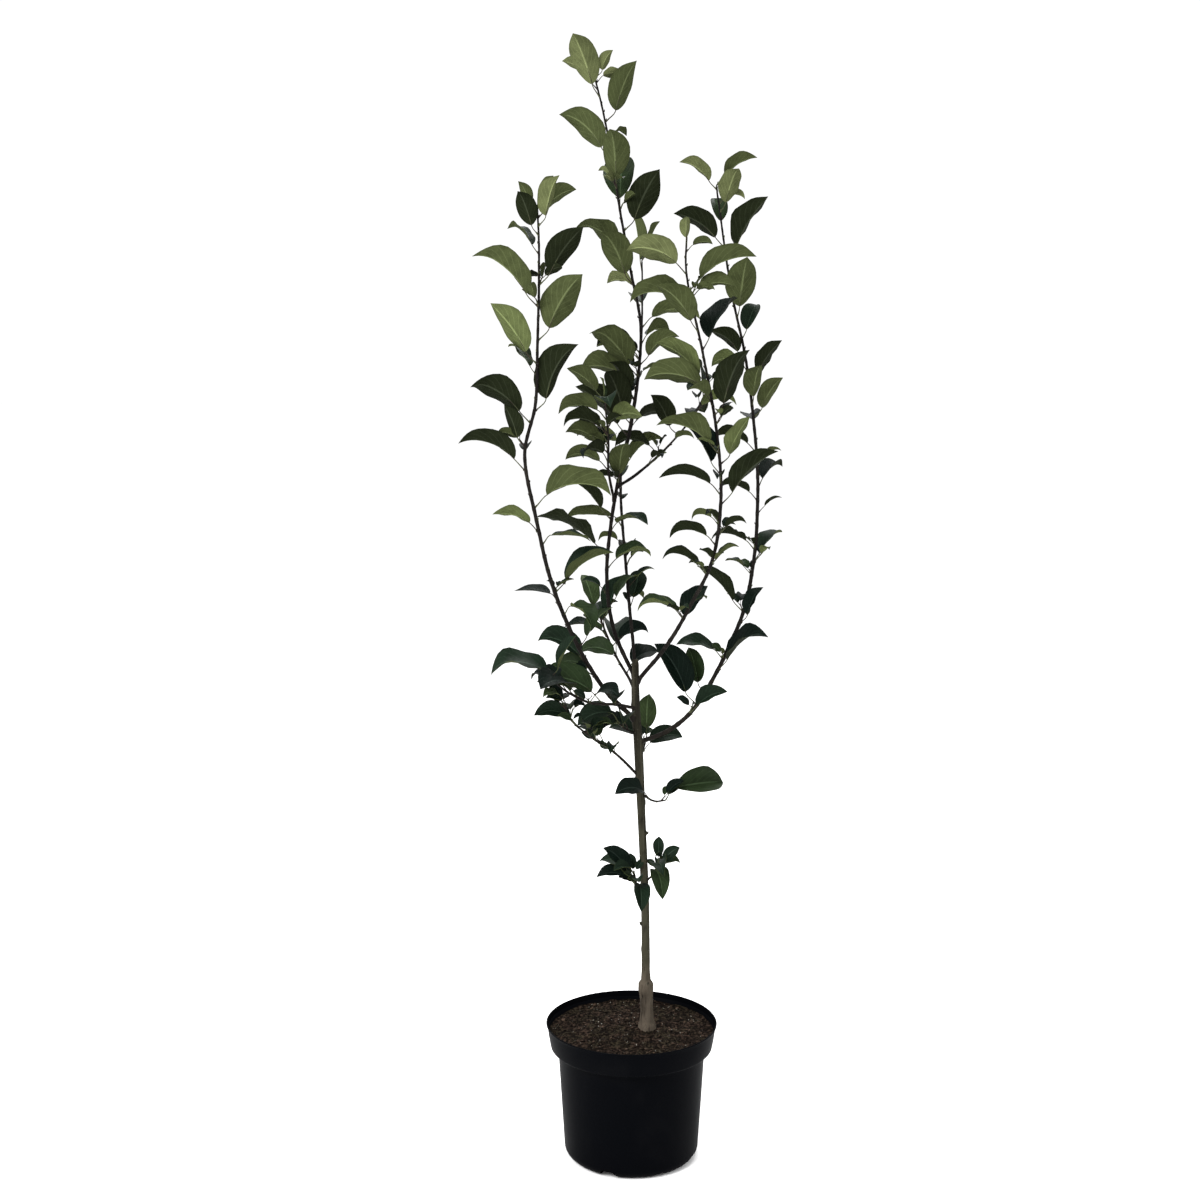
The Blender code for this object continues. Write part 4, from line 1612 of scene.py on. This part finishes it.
@dataclass(frozen=True)
class LeafRule:
    """The rule by which leaves stand on a shoot, the same as the solids follow."""

    headings: str = "69874123"
    heading_step: float = 45.0
    strays: Sequence[tuple[str, float]] = (
        ("heading", 10.0),
        ("rise", 7.0),
        ("droop", 10.0),
        ("roll", 18.0),
        ("sweep", 16.0),
        ("size", 0.10),
    )
    fold: tuple[float, float] = (16.0, 44.0)
    fullness: float = 0.60
    first_leaf: float = 0.010
    first_spur_leaf: float = 0.016
    stalk_radius: float = 0.0008
    stalk_rise: float = math.radians(48.0)
    stalk_length: float = 0.009
    stalk_share: float = 0.15
    crowding: float = 1.2
    light_rise: float = 0.8
    light_height: float = 0.90
    light_span: float = 0.25
    most_roll: float = math.radians(65.0)
    turns: Sequence[float] = (0.0, 24.0, -24.0, 48.0, -48.0, 75.0, -75.0)
    stations: Sequence[float] = (0.0, 0.17, 0.45, 0.76, 1.0)
    match: float = 0.0005

    def node_at(self, shoot: Shoot, path: Path, number: int) -> float:
        """The distance along a shoot of one of its nodes."""
        last = len(shoot.leaves.split()) - 1
        first = shoot.bare + (self.first_leaf if shoot.bare else self.first_spur_leaf)
        onward = 1.0 - (1.0 - number / last) ** self.crowding
        return first + (path.length - self.stalk_radius - first) * onward

    def roll_to_light(
        self, along: Vector, heading: float, height: float, share: float
    ) -> float:
        """How far a blade turns about its own length to meet its share of the light.

        Args:
            along: The blade's mean direction.
            heading: Where it points, seen from above.
            height: How high it stands.
            share: How much of the turn it makes.

        Returns:
            The turn in radians.
        """
        back = max(-1.0, min(1.0, (height - self.light_height) / self.light_span))
        light = Vector((0.0, back, self.light_rise))
        side = Vector((-math.sin(heading), math.cos(heading), 0.0))
        normal = along.cross(side)
        turn = math.atan2(-light.dot(side), light.dot(normal)) * share
        return max(-self.most_roll, min(self.most_roll, turn))

    def blade(self, shoot: Shoot, path: Path, number: int, code: str, turn: float) -> Blade:
        """Works out one leaf from its code and its own seeded strays.

        Args:
            shoot: The shoot that it stands on.
            path: The shoot's path.
            number: Which node it stands at.
            code: Its code.
            turn: How far it has turned aside to find room, in degrees.

        Returns:
            The leaf's place and bends.
        """
        draw = random.Random(f"{shoot.name} leaf {number}")
        stray = {key: most * draw.uniform(-1, 1) for key, most in self.strays}
        fold = math.radians(draw.uniform(*self.fold))
        distance = self.node_at(shoot, path, number)
        length = Size.length_of(code[1]) * (1 + stray["size"])
        _, rise, droop, share = Pose.of(code[2:]).value
        heading = math.radians(
            self.headings.index(code[0]) * self.heading_step + stray["heading"] + turn
        )
        rise = math.radians(rise + stray["rise"])
        droop = math.radians(droop + stray["droop"])
        root = path.at(distance)
        roll = self.roll_to_light(forward((rise + droop) / 2, heading), heading, root.z, share)
        return Blade(
            foot=distance,
            root=root,
            inside=shoot.radius(path, distance),
            heading=heading,
            rise=rise,
            droop=droop,
            sweep=math.radians(stray["sweep"]),
            roll=roll + math.radians(stray["roll"]),
            fold=fold,
            length=length,
            width=length * self.fullness,
            stalk=self.stalk_length + self.stalk_share * length,
            stalk_rise=self.stalk_rise,
        )

    def settled(self, shoot: Shoot, path: Path, solid: KDTree) -> dict[int, Blade]:
        """Finds which turn each leaf of a shoot took in the solid.

        Args:
            shoot: The shoot that they stand on.
            path: The shoot's path.
            solid: The corners of the shoot's leafy solid.

        Returns:
            By node, the leaves whose tips the solid has. A leaf that found no room has none.
        """
        found = {}
        for number, code in enumerate(shoot.leaves.split()):
            for turn in self.turns if code != "." else ():
                blade = self.blade(shoot, path, number, code, turn)
                tip = blade.spine(self.stations)[-1]
                if solid.find(tip)[2] < self.match:
                    found[number] = blade
                    break
        return found


@dataclass
class LeafPattern:
    """A flat leaf that is modelled once and then copied and bent.

    Rows are places along the blade with the widths of its outline there. Each copy draws its
    fullness, curl, waves, hook in degrees and lean from the ranges given here.
    """

    columns: Sequence[float] = (-1.0, -0.55, 0.0, 0.55, 1.0)
    rows: Sequence[float] = (
        0.0, 0.03, 0.08, 0.145, 0.22, 0.31, 0.41, 0.51, 0.61, 0.70, 0.78, 0.85, 0.91, 0.96, 1.0,
    )
    widths: Sequence[float] = (
        0.0, 0.24, 0.47, 0.66, 0.82, 0.93, 0.99, 1.0, 0.94, 0.82, 0.66, 0.46, 0.27, 0.11, 0.0,
    )
    thickness: float = 0.00042
    fullness: tuple[float, float] = (0.97, 1.04)
    curls: tuple[float, float] = (-0.15, 0.45)
    wave_heights: tuple[float, float] = (0.02, 0.11)
    wave_boosts: Sequence[float] = (1.0, 1.0, 1.6)
    wave_counts: tuple[float, float] = (1.4, 2.6)
    hooks: tuple[float, float] = (-8.0, 38.0)
    hook_from: float = 0.66
    hook_depth: float = 2.2
    leans: tuple[float, float] = (-0.05, 0.05)
    smooth_below: float = 42.0
    flat: bpy.types.Object = field(init=False)

    def __post_init__(self) -> None:
        """Models the flat leaf: a grid whose rows and columns lie where the outline needs them."""
        deselect_all()
        across_count, along_count = len(self.columns) - 1, len(self.rows) - 1
        bpy.ops.mesh.primitive_grid_add(
            x_subdivisions=across_count, y_subdivisions=along_count, size=2.0
        )
        self.flat = bpy.context.object
        self.flat.name = "flat_leaf"
        mesh = self.flat.data
        for vertex in mesh.vertices:
            column = round((vertex.co.x + 1.0) / 2.0 * across_count)
            row = round((vertex.co.y + 1.0) / 2.0 * along_count)
            vertex.co = (self.columns[column], row, 0.0)
        while mesh.uv_layers:
            mesh.uv_layers.remove(mesh.uv_layers[0])
        blade_map = mesh.uv_layers.new(name=LeafSkin.map_name)
        for loop in mesh.loops:
            across, row, _ = mesh.vertices[loop.vertex_index].co
            blade_map.data[loop.index].uv = (self.rows[round(row)], across * 0.5 + 0.5)
        for side in (Side.UPPER, Side.UNDER):
            for tone in Tone:
                mesh.materials.append(LeafSkin.of(tone, side).material())

    def grow(self, blade: Blade, tone: Tone, draw: random.Random) -> bpy.types.Object:
        """Copies the flat leaf, bends the copy and gives it its tone.

        Args:
            blade: Where the leaf stands and how it bends.
            tone: Its tone.
            draw: The random numbers for its curl, its waves and its tip.

        Returns:
            The leaf, still a sheet.
        """
        leaf = copy_of(self.flat, "leaf")
        spine = blade.spine(self.rows)
        half = blade.width * 0.5 * draw.uniform(*self.fullness)
        curl = draw.uniform(*self.curls)
        wave = draw.uniform(*self.wave_heights) * half * draw.choice(self.wave_boosts)
        waves = draw.uniform(*self.wave_counts)
        phases = {True: draw.uniform(0.0, TURN), False: draw.uniform(0.0, TURN)}
        hook = math.radians(draw.uniform(*self.hooks))
        lean = draw.uniform(*self.leans)
        for vertex in leaf.data.vertices:
            across, row = vertex.co.x, round(vertex.co.y)
            place, reach = self.rows[row], self.widths[row] * half
            normal = blade.along(place).cross(blade.side(place))
            out = abs(across)
            ripple = math.sin(waves * TURN * place + phases[across > 0.0]) * wave * out * out
            lift = math.sin(blade.fold) * out ** (1.0 + curl) * reach + ripple * self.widths[row]
            past = max(0.0, place - self.hook_from) * blade.length
            lift -= past * past / blade.length * math.sin(hook) * self.hook_depth
            spread = across * (1.0 + lean * across) * math.cos(blade.fold) * reach
            vertex.co = spine[row] - blade.side(place) * spread + normal * lift
        for face in leaf.data.polygons:
            face.material_index = tone.value
        return leaf

    def finish(self, name: str, leaves: Sequence[bpy.types.Object]) -> bpy.types.Object:
        """Joins leaves and gives their sheets a thickness and an underside.

        Args:
            name: The joined piece's name.
            leaves: The bent leaves.

        Returns:
            The joined leaves, closed, each side with its own skin.
        """
        joined = join(name, leaves)
        close_up(joined, outwards=False)
        wall = joined.modifiers.new("thickness", "SOLIDIFY")
        wall.thickness = self.thickness
        wall.offset = -1.0
        wall.material_offset = len(Tone)
        wall.material_offset_rim = len(Tone)
        bpy.ops.object.modifier_apply(modifier=wall.name)
        smooth(joined, self.smooth_below)
        return joined


@dataclass
class StalkPattern:
    """A leaf stalk that is modelled once as a short tube and then copied and bent."""

    sides: int = 6
    stretches: int = 6
    foot_radius: float = 0.00125
    radius: float = 0.00072
    neck_share: float = 0.75
    rise_share: float = 0.5
    onward_share: float = 0.3
    least_size: float = 0.45
    grown_leaf: float = 0.11
    rib_reach: float = 0.30
    rib_depth: float = 0.0006
    rib_taper: float = 0.6
    tube: bpy.types.Object = field(init=False)

    def __post_init__(self) -> None:
        """Models the straight tube, a unit long, its rings evenly spaced."""
        stations = [(1.0, i / self.stretches) for i in range(self.stretches + 1)]
        self.tube = lathe("straight_stalk", stations, self.sides)
        self.tube.data.materials.append(StalkSkin().material())

    def grow(self, blade: Blade) -> bpy.types.Object:
        """Copies the tube and bends it from the shoot to the blade, and on under its midrib.

        Args:
            blade: The leaf that it carries.

        Returns:
            The stalk.
        """
        stalk = copy_of(self.tube, "stalk")
        size = min(1.0, self.least_size + blade.length / self.grown_leaf)
        for vertex in stalk.data.vertices:
            share = vertex.co.z
            if share > self.neck_share:
                past = (share - self.neck_share) / (1.0 - self.neck_share)
                centre, heading, radius = self.under_midrib(blade, past)
            else:
                centre, heading, radius = self.to_neck(blade, share / self.neck_share)
            turned = heading.to_track_quat("Z", "Y")
            ring = Vector((vertex.co.x, vertex.co.y, 0.0)) * radius * size
            vertex.co = centre + turned @ ring
        return stalk

    def to_neck(self, blade: Blade, t: float) -> tuple[Vector, Vector, float]:
        """The stalk between the shoot and the blade, on a curve with four control points.

        Args:
            blade: The leaf that it carries.
            t: How far along the curve, from 0 at the shoot to 1 at the blade.

        Returns:
            The stalk's middle, heading and radius there.
        """
        root, neck = blade.root, blade.neck()
        lead = (neck - root).length
        first = root + forward(blade.stalk_rise, blade.heading) * lead * self.rise_share
        second = neck - blade.along(0.0) * lead * self.onward_share
        centre = (
            root * (1 - t) ** 3
            + first * 3 * t * (1 - t) ** 2
            + second * 3 * t * t * (1 - t)
            + neck * t**3
        )
        heading = (
            (first - root) * (1 - t) ** 2
            + (second - first) * 2 * t * (1 - t)
            + (neck - second) * t * t
        )
        return centre, heading, self.radius + (self.foot_radius - self.radius) * (1.0 - t) ** 3

    def under_midrib(self, blade: Blade, past: float) -> tuple[Vector, Vector, float]:
        """The stalk's thinning run under the midrib.

        Args:
            blade: The leaf that it carries.
            past: How far along the run, from 0 at the blade's foot to 1 at its own end.

        Returns:
            The stalk's middle, heading and radius there.
        """
        under = blade.along(0.0).cross(blade.side(0.0)) * -self.rib_depth
        centre = blade.spine((0.0, max(1e-4, past * self.rib_reach)))[-1] + under * past
        heading = blade.along(past * self.rib_reach * 0.5)
        return centre, heading, self.radius * (1.0 - self.rib_taper * past)


@dataclass
class BudPattern:
    """A bud that is modelled once and then copied.

    Its stations are shares of its width and of its length.
    """

    length: float = 0.0036
    width: float = 0.0017
    stations: Sequence[tuple[float, float]] = (
        (0.30, -0.10),
        (0.48, 0.12),
        (0.50, 0.34),
        (0.34, 0.66),
        (0.08, 1.0),
    )
    sides: int = 6
    lean: float = 0.35
    above: float = 0.0022
    clear: float = 0.16
    bud: bpy.types.Object = field(init=False)

    def __post_init__(self) -> None:
        """Models a pointed bud that stands up, its foot at the origin."""
        sized = [(wide * self.width, high * self.length) for wide, high in self.stations]
        self.bud = lathe("standing_bud", sized, self.sides)
        self.bud.data.materials.append(StalkSkin().material())

    def grow(self, root: Vector, up: Vector, heading: float, off: float) -> bpy.types.Object:
        """Copies the bud onto a shoot.

        Args:
            root: The node's middle.
            up: The shoot's direction there.
            heading: The side of the shoot that the bud stands on.
            off: The shoot's radius.

        Returns:
            The bud, pressed against the shoot above its leaf.
        """
        bud = copy_of(self.bud, "bud")
        out = forward(0.0, heading)
        out = (out - up * out.dot(up)).normalized()
        lean = (up + out * self.lean).normalized()
        place = root + up * self.above + out * (off + self.width * self.clear)
        turn = lean.to_track_quat("Z", "Y").to_matrix().to_4x4()
        bud.data.transform(Matrix.Translation(place) @ turn)
        return bud


@dataclass(frozen=True)
class TwigRule:
    """How a short twig stands in an axil and carries its leaves. Angles are in radians.

    The shares are how many of the leaves have a twig, below and above the height dense_below.
    No twig stands farther up its shoot than the share that until names.
    """

    dense_below: float = 0.95
    shares: tuple[float, float] = (0.46, 0.20)
    until: float = 0.86
    aside: tuple[float, float] = (0.5, 1.1)
    rises: tuple[float, float] = (0.5, 1.0)
    upward: float = 0.5
    lengths: tuple[float, float] = (0.007, 0.016)
    places: Sequence[float] = (0.0, 0.3, 0.55, 0.8, 1.0)
    radii: Sequence[float] = (0.0013, 0.0012, 0.0010, 0.0011, 0.0006)
    rounding: int = 1
    leaf_counts: Sequence[int] = (2, 2, 3)
    leaf_middle: float = 0.9
    leaf_turns: tuple[float, float] = (1.0, 1.7)
    leaf_rises: tuple[float, float] = (0.35, 1.15)
    leaf_bends: tuple[float, float] = (0.3, 1.0)
    leaf_lengths: tuple[float, float] = (0.016, 0.031)
    leaf_sweep: float = 0.3
    leaf_roll: float = 0.4
    light_share: float = 0.8
    inside: float = 0.0008
    stalk_share: float = 0.22
    stalk_rise: float = 0.7
    youth: float = 0.7


@dataclass(frozen=True)
class ToneRule:
    """How a leaf is dealt its tone: brighter towards a shoot's tip, and by painted light towards
    the tree's top.

    A limit is the score below which a leaf has the tone. Past the last it is tender.
    """

    limits: Sequence[tuple[Tone, float]] = (
        (Tone.DEEP, 0.30),
        (Tone.GREEN, 0.74),
        (Tone.FRESH, 0.97),
    )
    tip_from: float = 0.80
    tip_span: float = 0.2
    tip_gain: float = 0.24
    # Painted light: the higher a leaf stands, the brighter its tone, and the lower, the more
    # painted shade.
    painted_light_from: float = 1.0
    painted_light_span: float = 0.5
    painted_light_gain: float = 0.16
    # Every leaf's score is lowered by this, dealing more deep tones as painted shade.
    shade: float = 0.10

    def deal(self, draw: random.Random, youth: float, height: float) -> Tone:
        """Deals one leaf its tone.

        Args:
            draw: The leaf's random numbers.
            youth: How far along its shoot it stands, from 0 to 1.
            height: How high it stands.

        Returns:
            The tone.
        """
        score = draw.random() + self.tip_gain * eased((youth - self.tip_from) / self.tip_span)
        # Painted light: leaves high in the tree score higher and come out brighter.
        score += self.painted_light_gain * eased((height - self.painted_light_from) / self.painted_light_span) - self.shade
        return next((tone for tone, limit in self.limits if score < limit), Tone.TENDER)


@dataclass
class LeafyHead:
    """All the boughs, leafy stems, twigs and leaves.

    A limb thickens by the share swelling at its nodes and by collar_share at its foot. Uneven
    and bow are the scale and the size of its small and its large strays.
    """

    rule: LeafRule = field(default_factory=LeafRule)
    twig: TwigRule = field(default_factory=TwigRule)
    tones: ToneRule = field(default_factory=ToneRule)
    leaf: LeafPattern = field(default_factory=LeafPattern)
    stalk: StalkPattern = field(default_factory=StalkPattern)
    bud: BudPattern = field(default_factory=BudPattern)
    step: float = 0.0030
    fewest_steps: int = 4
    bough_rounding: int = 3
    stem_rounding: int = 2
    overlap: float = 0.001
    bare_nodes: Sequence[float] = (0.42, 0.58, 0.72, 0.86)
    collar_length: float = 0.011
    collar_share: float = 0.75
    swelling: float = 0.13
    swelling_reach: float = 0.0030
    tip_share: float = 0.5
    uneven: tuple[float, float] = (160.0, 0.00016)
    bow: tuple[float, float] = (22.0, 0.0006)
    smooth_below: float = 50.0
    look_aside: float = 0.004
    leaf_count: int = 0
    twig_count: int = 0

    def build(self, nodes: dict[str, bpy.types.Object]) -> list[bpy.types.Object]:
        """Dresses every shoot.

        Args:
            nodes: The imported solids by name.

        Returns:
            The pieces of all the shoots.
        """
        pieces = []
        for shoot in (*SHOOTS, *SPURS):
            solid = nodes[f"{shoot.name}_foliage"].data
            corners = KDTree(len(solid.vertices))
            for i, vertex in enumerate(solid.vertices):
                corners.insert(vertex.co, i)
            corners.balance()
            pieces += self.dress_shoot(shoot, corners)
        for pattern in (self.leaf.flat, self.stalk.tube, self.bud.bud):
            bpy.data.objects.remove(pattern)
        LOG.info("%d leaves, and %d short twigs", self.leaf_count, self.twig_count)
        return pieces

    def dress_shoot(self, shoot: Shoot, corners: KDTree) -> list[bpy.types.Object]:
        """Grows one shoot's bough, leafy stem and leaves.

        Args:
            shoot: The shoot.
            corners: The corners of its leafy solid.

        Returns:
            Its pieces.
        """
        path = Path(shoot.route)
        pieces = []
        blades = self.rule.settled(shoot, path, corners)
        nodes = [
            blades[i].foot if i in blades else self.rule.node_at(shoot, path, i)
            for i in range(len(shoot.leaves.split()))
        ]
        if shoot.bare:
            nodes += [shoot.bare * share for share in self.bare_nodes]
            reach = (0.0, shoot.bare + self.overlap)
            bough = self.limb(f"{shoot.name}_bark", shoot, path, reach, nodes)
            pieces.append(dress(bough, SHOOT_BARK, "shoot_bark", f"{shoot.name}_bough"))
        stem = self.limb(f"{shoot.name}_stem", shoot, path, (shoot.bare, path.length), nodes)
        stem.data.materials.append(SHOOT_BARK.material())
        leaves, small = self.leaves_of(shoot, path, nodes, blades)
        twigs = join(f"{shoot.name}_twigs", [stem, *small])
        smooth(twigs, self.smooth_below)
        pieces.append(dress(twigs, None, "shoot_bark"))
        mass = self.leaf.finish(f"{shoot.name}_leaves", leaves)
        pieces.append(dress(mass, None, "leaf_green", f"{shoot.name}_foliage"))
        return pieces

    def limb(
        self,
        name: str,
        shoot: Shoot,
        path: Path,
        stretch: tuple[float, float],
        nodes: Sequence[float],
    ) -> bpy.types.Object:
        """Sweeps a stretch of a shoot, swollen at its nodes and collared at its foot.

        Args:
            name: The new object's name.
            shoot: The shoot.
            path: Its path.
            stretch: Where the stretch begins and ends, as distances along the path.
            nodes: Where the shoot's nodes are.

        Returns:
            The stretch as a closed tube.
        """
        start, end = stretch
        count = max(self.fewest_steps, round((end - start) / self.step))
        marks = [start + (end - start) * i / count for i in range(count + 1)]
        radii = []
        for mark in marks:
            radius = shoot.radius(path, mark)
            near = min(abs(mark - node) for node in nodes)
            radius *= 1.0 + self.swelling * math.exp(-((near / self.swelling_reach) ** 2))
            collar = eased(1.0 - mark / self.collar_length)
            radii.append(radius * (1.0 + self.collar_share * collar))
        if end >= path.length:
            radii[-1] *= self.tip_share
        points = [path.at(mark) for mark in marks]
        rounding = self.bough_rounding if start == 0.0 else self.stem_rounding
        limb = sweep(name, points, radii, rounding)
        for vertex in limb.data.vertices:
            small = noise.noise_vector(vertex.co * self.uneven[0]) * self.uneven[1]
            large = noise.noise_vector(vertex.co * self.bow[0]) * self.bow[1]
            vertex.co += small + large
        smooth(limb, self.smooth_below)
        return limb

    def leaves_of(
        self, shoot: Shoot, path: Path, nodes: Sequence[float], blades: dict[int, Blade]
    ) -> tuple[list[bpy.types.Object], list[bpy.types.Object]]:
        """Grows a shoot's leaves, and with them their stalks, buds and short twigs.

        Args:
            shoot: The shoot.
            path: Its path.
            nodes: Where the shoot's nodes are.
            blades: The leaves by their node.

        Returns:
            The leaves, and the stalks, buds and twigs.
        """
        leaves, small = [], []
        codes = shoot.leaves.split()
        for number, code in enumerate(codes):
            distance = nodes[number]
            root = path.at(distance)
            above = path.at(min(path.length, distance + self.look_aside))
            up = (above - path.at(distance - self.look_aside)).normalized()
            draw = random.Random(f"{shoot.name} look {number}")
            off = shoot.radius(path, distance)
            if code == ".":
                small.append(self.bud.grow(root, up, draw.uniform(-TURN / 2, TURN / 2), off))
                continue
            blade = blades.get(number)
            if blade is None:
                LOG.info("%s: no room for leaf %d", shoot.name, number)
                continue
            youth = number / (len(codes) - 1)
            tone = self.tones.deal(draw, youth, root.z)
            leaves.append(self.leaf.grow(blade, tone, draw))
            small.append(self.stalk.grow(blade))
            small.append(self.bud.grow(root, up, blade.heading, off))
            self.leaf_count += 1
            share = self.twig.shares[root.z > self.twig.dense_below]
            if draw.random() < share and youth < self.twig.until:
                more_leaves, more_small = self.short_twig(root, up, blade, draw)
                leaves += more_leaves
                small += more_small
        return leaves, small

    def short_twig(
        self, root: Vector, up: Vector, beside: Blade, draw: random.Random
    ) -> tuple[list[bpy.types.Object], list[bpy.types.Object]]:
        """Grows a short twig from a leaf's axil, with a few small leaves.

        Args:
            root: The node's middle.
            up: The shoot's direction there.
            beside: The leaf in whose axil the twig stands.
            draw: The random numbers that shape it.

        Returns:
            The twig's leaves, and the twig with their stalks.
        """
        rule = self.twig
        heading = beside.heading + draw.choice((-1.0, 1.0)) * draw.uniform(*rule.aside)
        onward = (forward(draw.uniform(*rule.rises), heading) + up * rule.upward).normalized()
        length = draw.uniform(*rule.lengths)
        tip = root + onward * length
        points = [root.lerp(tip, place) for place in rule.places]
        twig = sweep("short_twig", points, rule.radii, rule.rounding)
        twig.data.materials.append(StalkSkin().material())
        leaves, small = [], [twig]
        self.twig_count += 1
        for i in range(draw.choice(rule.leaf_counts)):
            away = heading + (i - rule.leaf_middle) * draw.uniform(*rule.leaf_turns)
            rise = draw.uniform(*rule.leaf_rises)
            droop = rise - draw.uniform(*rule.leaf_bends)
            middle = forward((rise + droop) / 2.0, away)
            size = draw.uniform(*rule.leaf_lengths)
            sweep_by = draw.uniform(-rule.leaf_sweep, rule.leaf_sweep)
            to_light = self.rule.roll_to_light(middle, away, root.z, rule.light_share)
            blade = Blade(
                foot=length,
                root=points[-1 - (i % 2)],
                inside=rule.inside,
                heading=away,
                rise=rise,
                droop=droop,
                sweep=sweep_by,
                roll=to_light + draw.uniform(-rule.leaf_roll, rule.leaf_roll),
                fold=math.radians(draw.uniform(*self.rule.fold)),
                length=size,
                width=size * self.rule.fullness,
                stalk=size * rule.stalk_share,
                stalk_rise=rule.stalk_rise,
            )
            tone = self.tones.deal(draw, rule.youth, root.z)
            leaves.append(self.leaf.grow(blade, tone, draw))
            small.append(self.stalk.grow(blade))
        return leaves, small


@dataclass
class Studio:
    """The paper, the lights and the camera at the photograph's viewing angle.

    A lamp is its name, its place, its width and its power in watts. The focal length and the
    frame are in the photograph's pixels, and the sensor is in millimetres.
    """

    paper_width: float = 60.0
    lamps: Sequence[tuple[str, Point, float, float]] = (
        ("key_softbox", (-1.9, -2.2, 2.9), 1.6, 170.0),
        ("fill_softbox", (2.3, -1.5, 1.9), 1.8, 16.0),
        ("top_softbox", (0.5, 1.8, 3.4), 2.2, 110.0),
    )
    aim: Point = (0.0, 0.0, 0.85)
    sky: Colour = (1.0, 1.0, 1.0)
    sky_strength: float = 1.05
    camera_place: Point = (-0.048, -2.6, 1.247)
    pitch: float = math.radians(8.5)
    focal: float = 1786.0
    frame: float = 1200.0
    sensor: float = 36.0
    nearest: float = 0.05
    farthest: float = 100.0

    def build(self) -> None:
        """Lays the paper, hangs the lamps and sets the camera."""
        deselect_all()
        bpy.ops.mesh.primitive_plane_add(size=self.paper_width)
        paper = bpy.context.object
        paper.name = paper.data.name = "studio_paper"
        paper.data.materials.append(StudioPaper().material())
        for name, place, size, power in self.lamps:
            self.hang(name, Vector(place), size, power)
        world = bpy.data.worlds.new("studio_sky")
        world.use_nodes = True
        sky = world.node_tree.nodes["Background"]
        sky.inputs["Color"].default_value = (*self.sky, 1.0)
        sky.inputs["Strength"].default_value = self.sky_strength
        bpy.context.scene.world = world
        bpy.context.scene.view_settings.view_transform = "Standard"
        self.set_camera()

    def hang(self, name: str, place: Vector, size: float, power: float) -> None:
        """Hangs one soft lamp that points at the tree's middle.

        Args:
            name: The lamp's name.
            place: Where it hangs.
            size: Its width.
            power: Its power in watts.
        """
        deselect_all()
        bpy.ops.object.light_add(type="AREA", location=place)
        lamp = bpy.context.object
        lamp.name = name
        lamp.data.size = size
        lamp.data.energy = power
        lamp.rotation_euler = (Vector(self.aim) - place).to_track_quat("-Z", "Y").to_euler()

    def set_camera(self) -> None:
        """Sets up the camera as the photograph's stood."""
        deselect_all()
        bpy.ops.object.camera_add(location=self.camera_place)
        camera = bpy.context.object
        camera.name = "photo_camera"
        camera.rotation_euler = (math.pi / 2.0 - self.pitch, 0.0, 0.0)
        camera.data.sensor_width = self.sensor
        camera.data.lens = self.sensor * self.focal / self.frame
        camera.data.clip_start = self.nearest
        camera.data.clip_end = self.farthest
        bpy.context.scene.camera = camera


def main() -> None:
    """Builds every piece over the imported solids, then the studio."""
    noise.seed_set(NOISE_SEED)
    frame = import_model()
    pot = Pot()
    pot.build()
    Soil(pot).build()
    Trunk().build()
    LeafyHead().build(frame["nodes"])
    Studio().build()


if __name__ == "__main__":
    logging.basicConfig(level=logging.INFO, format="%(message)s")
    main()
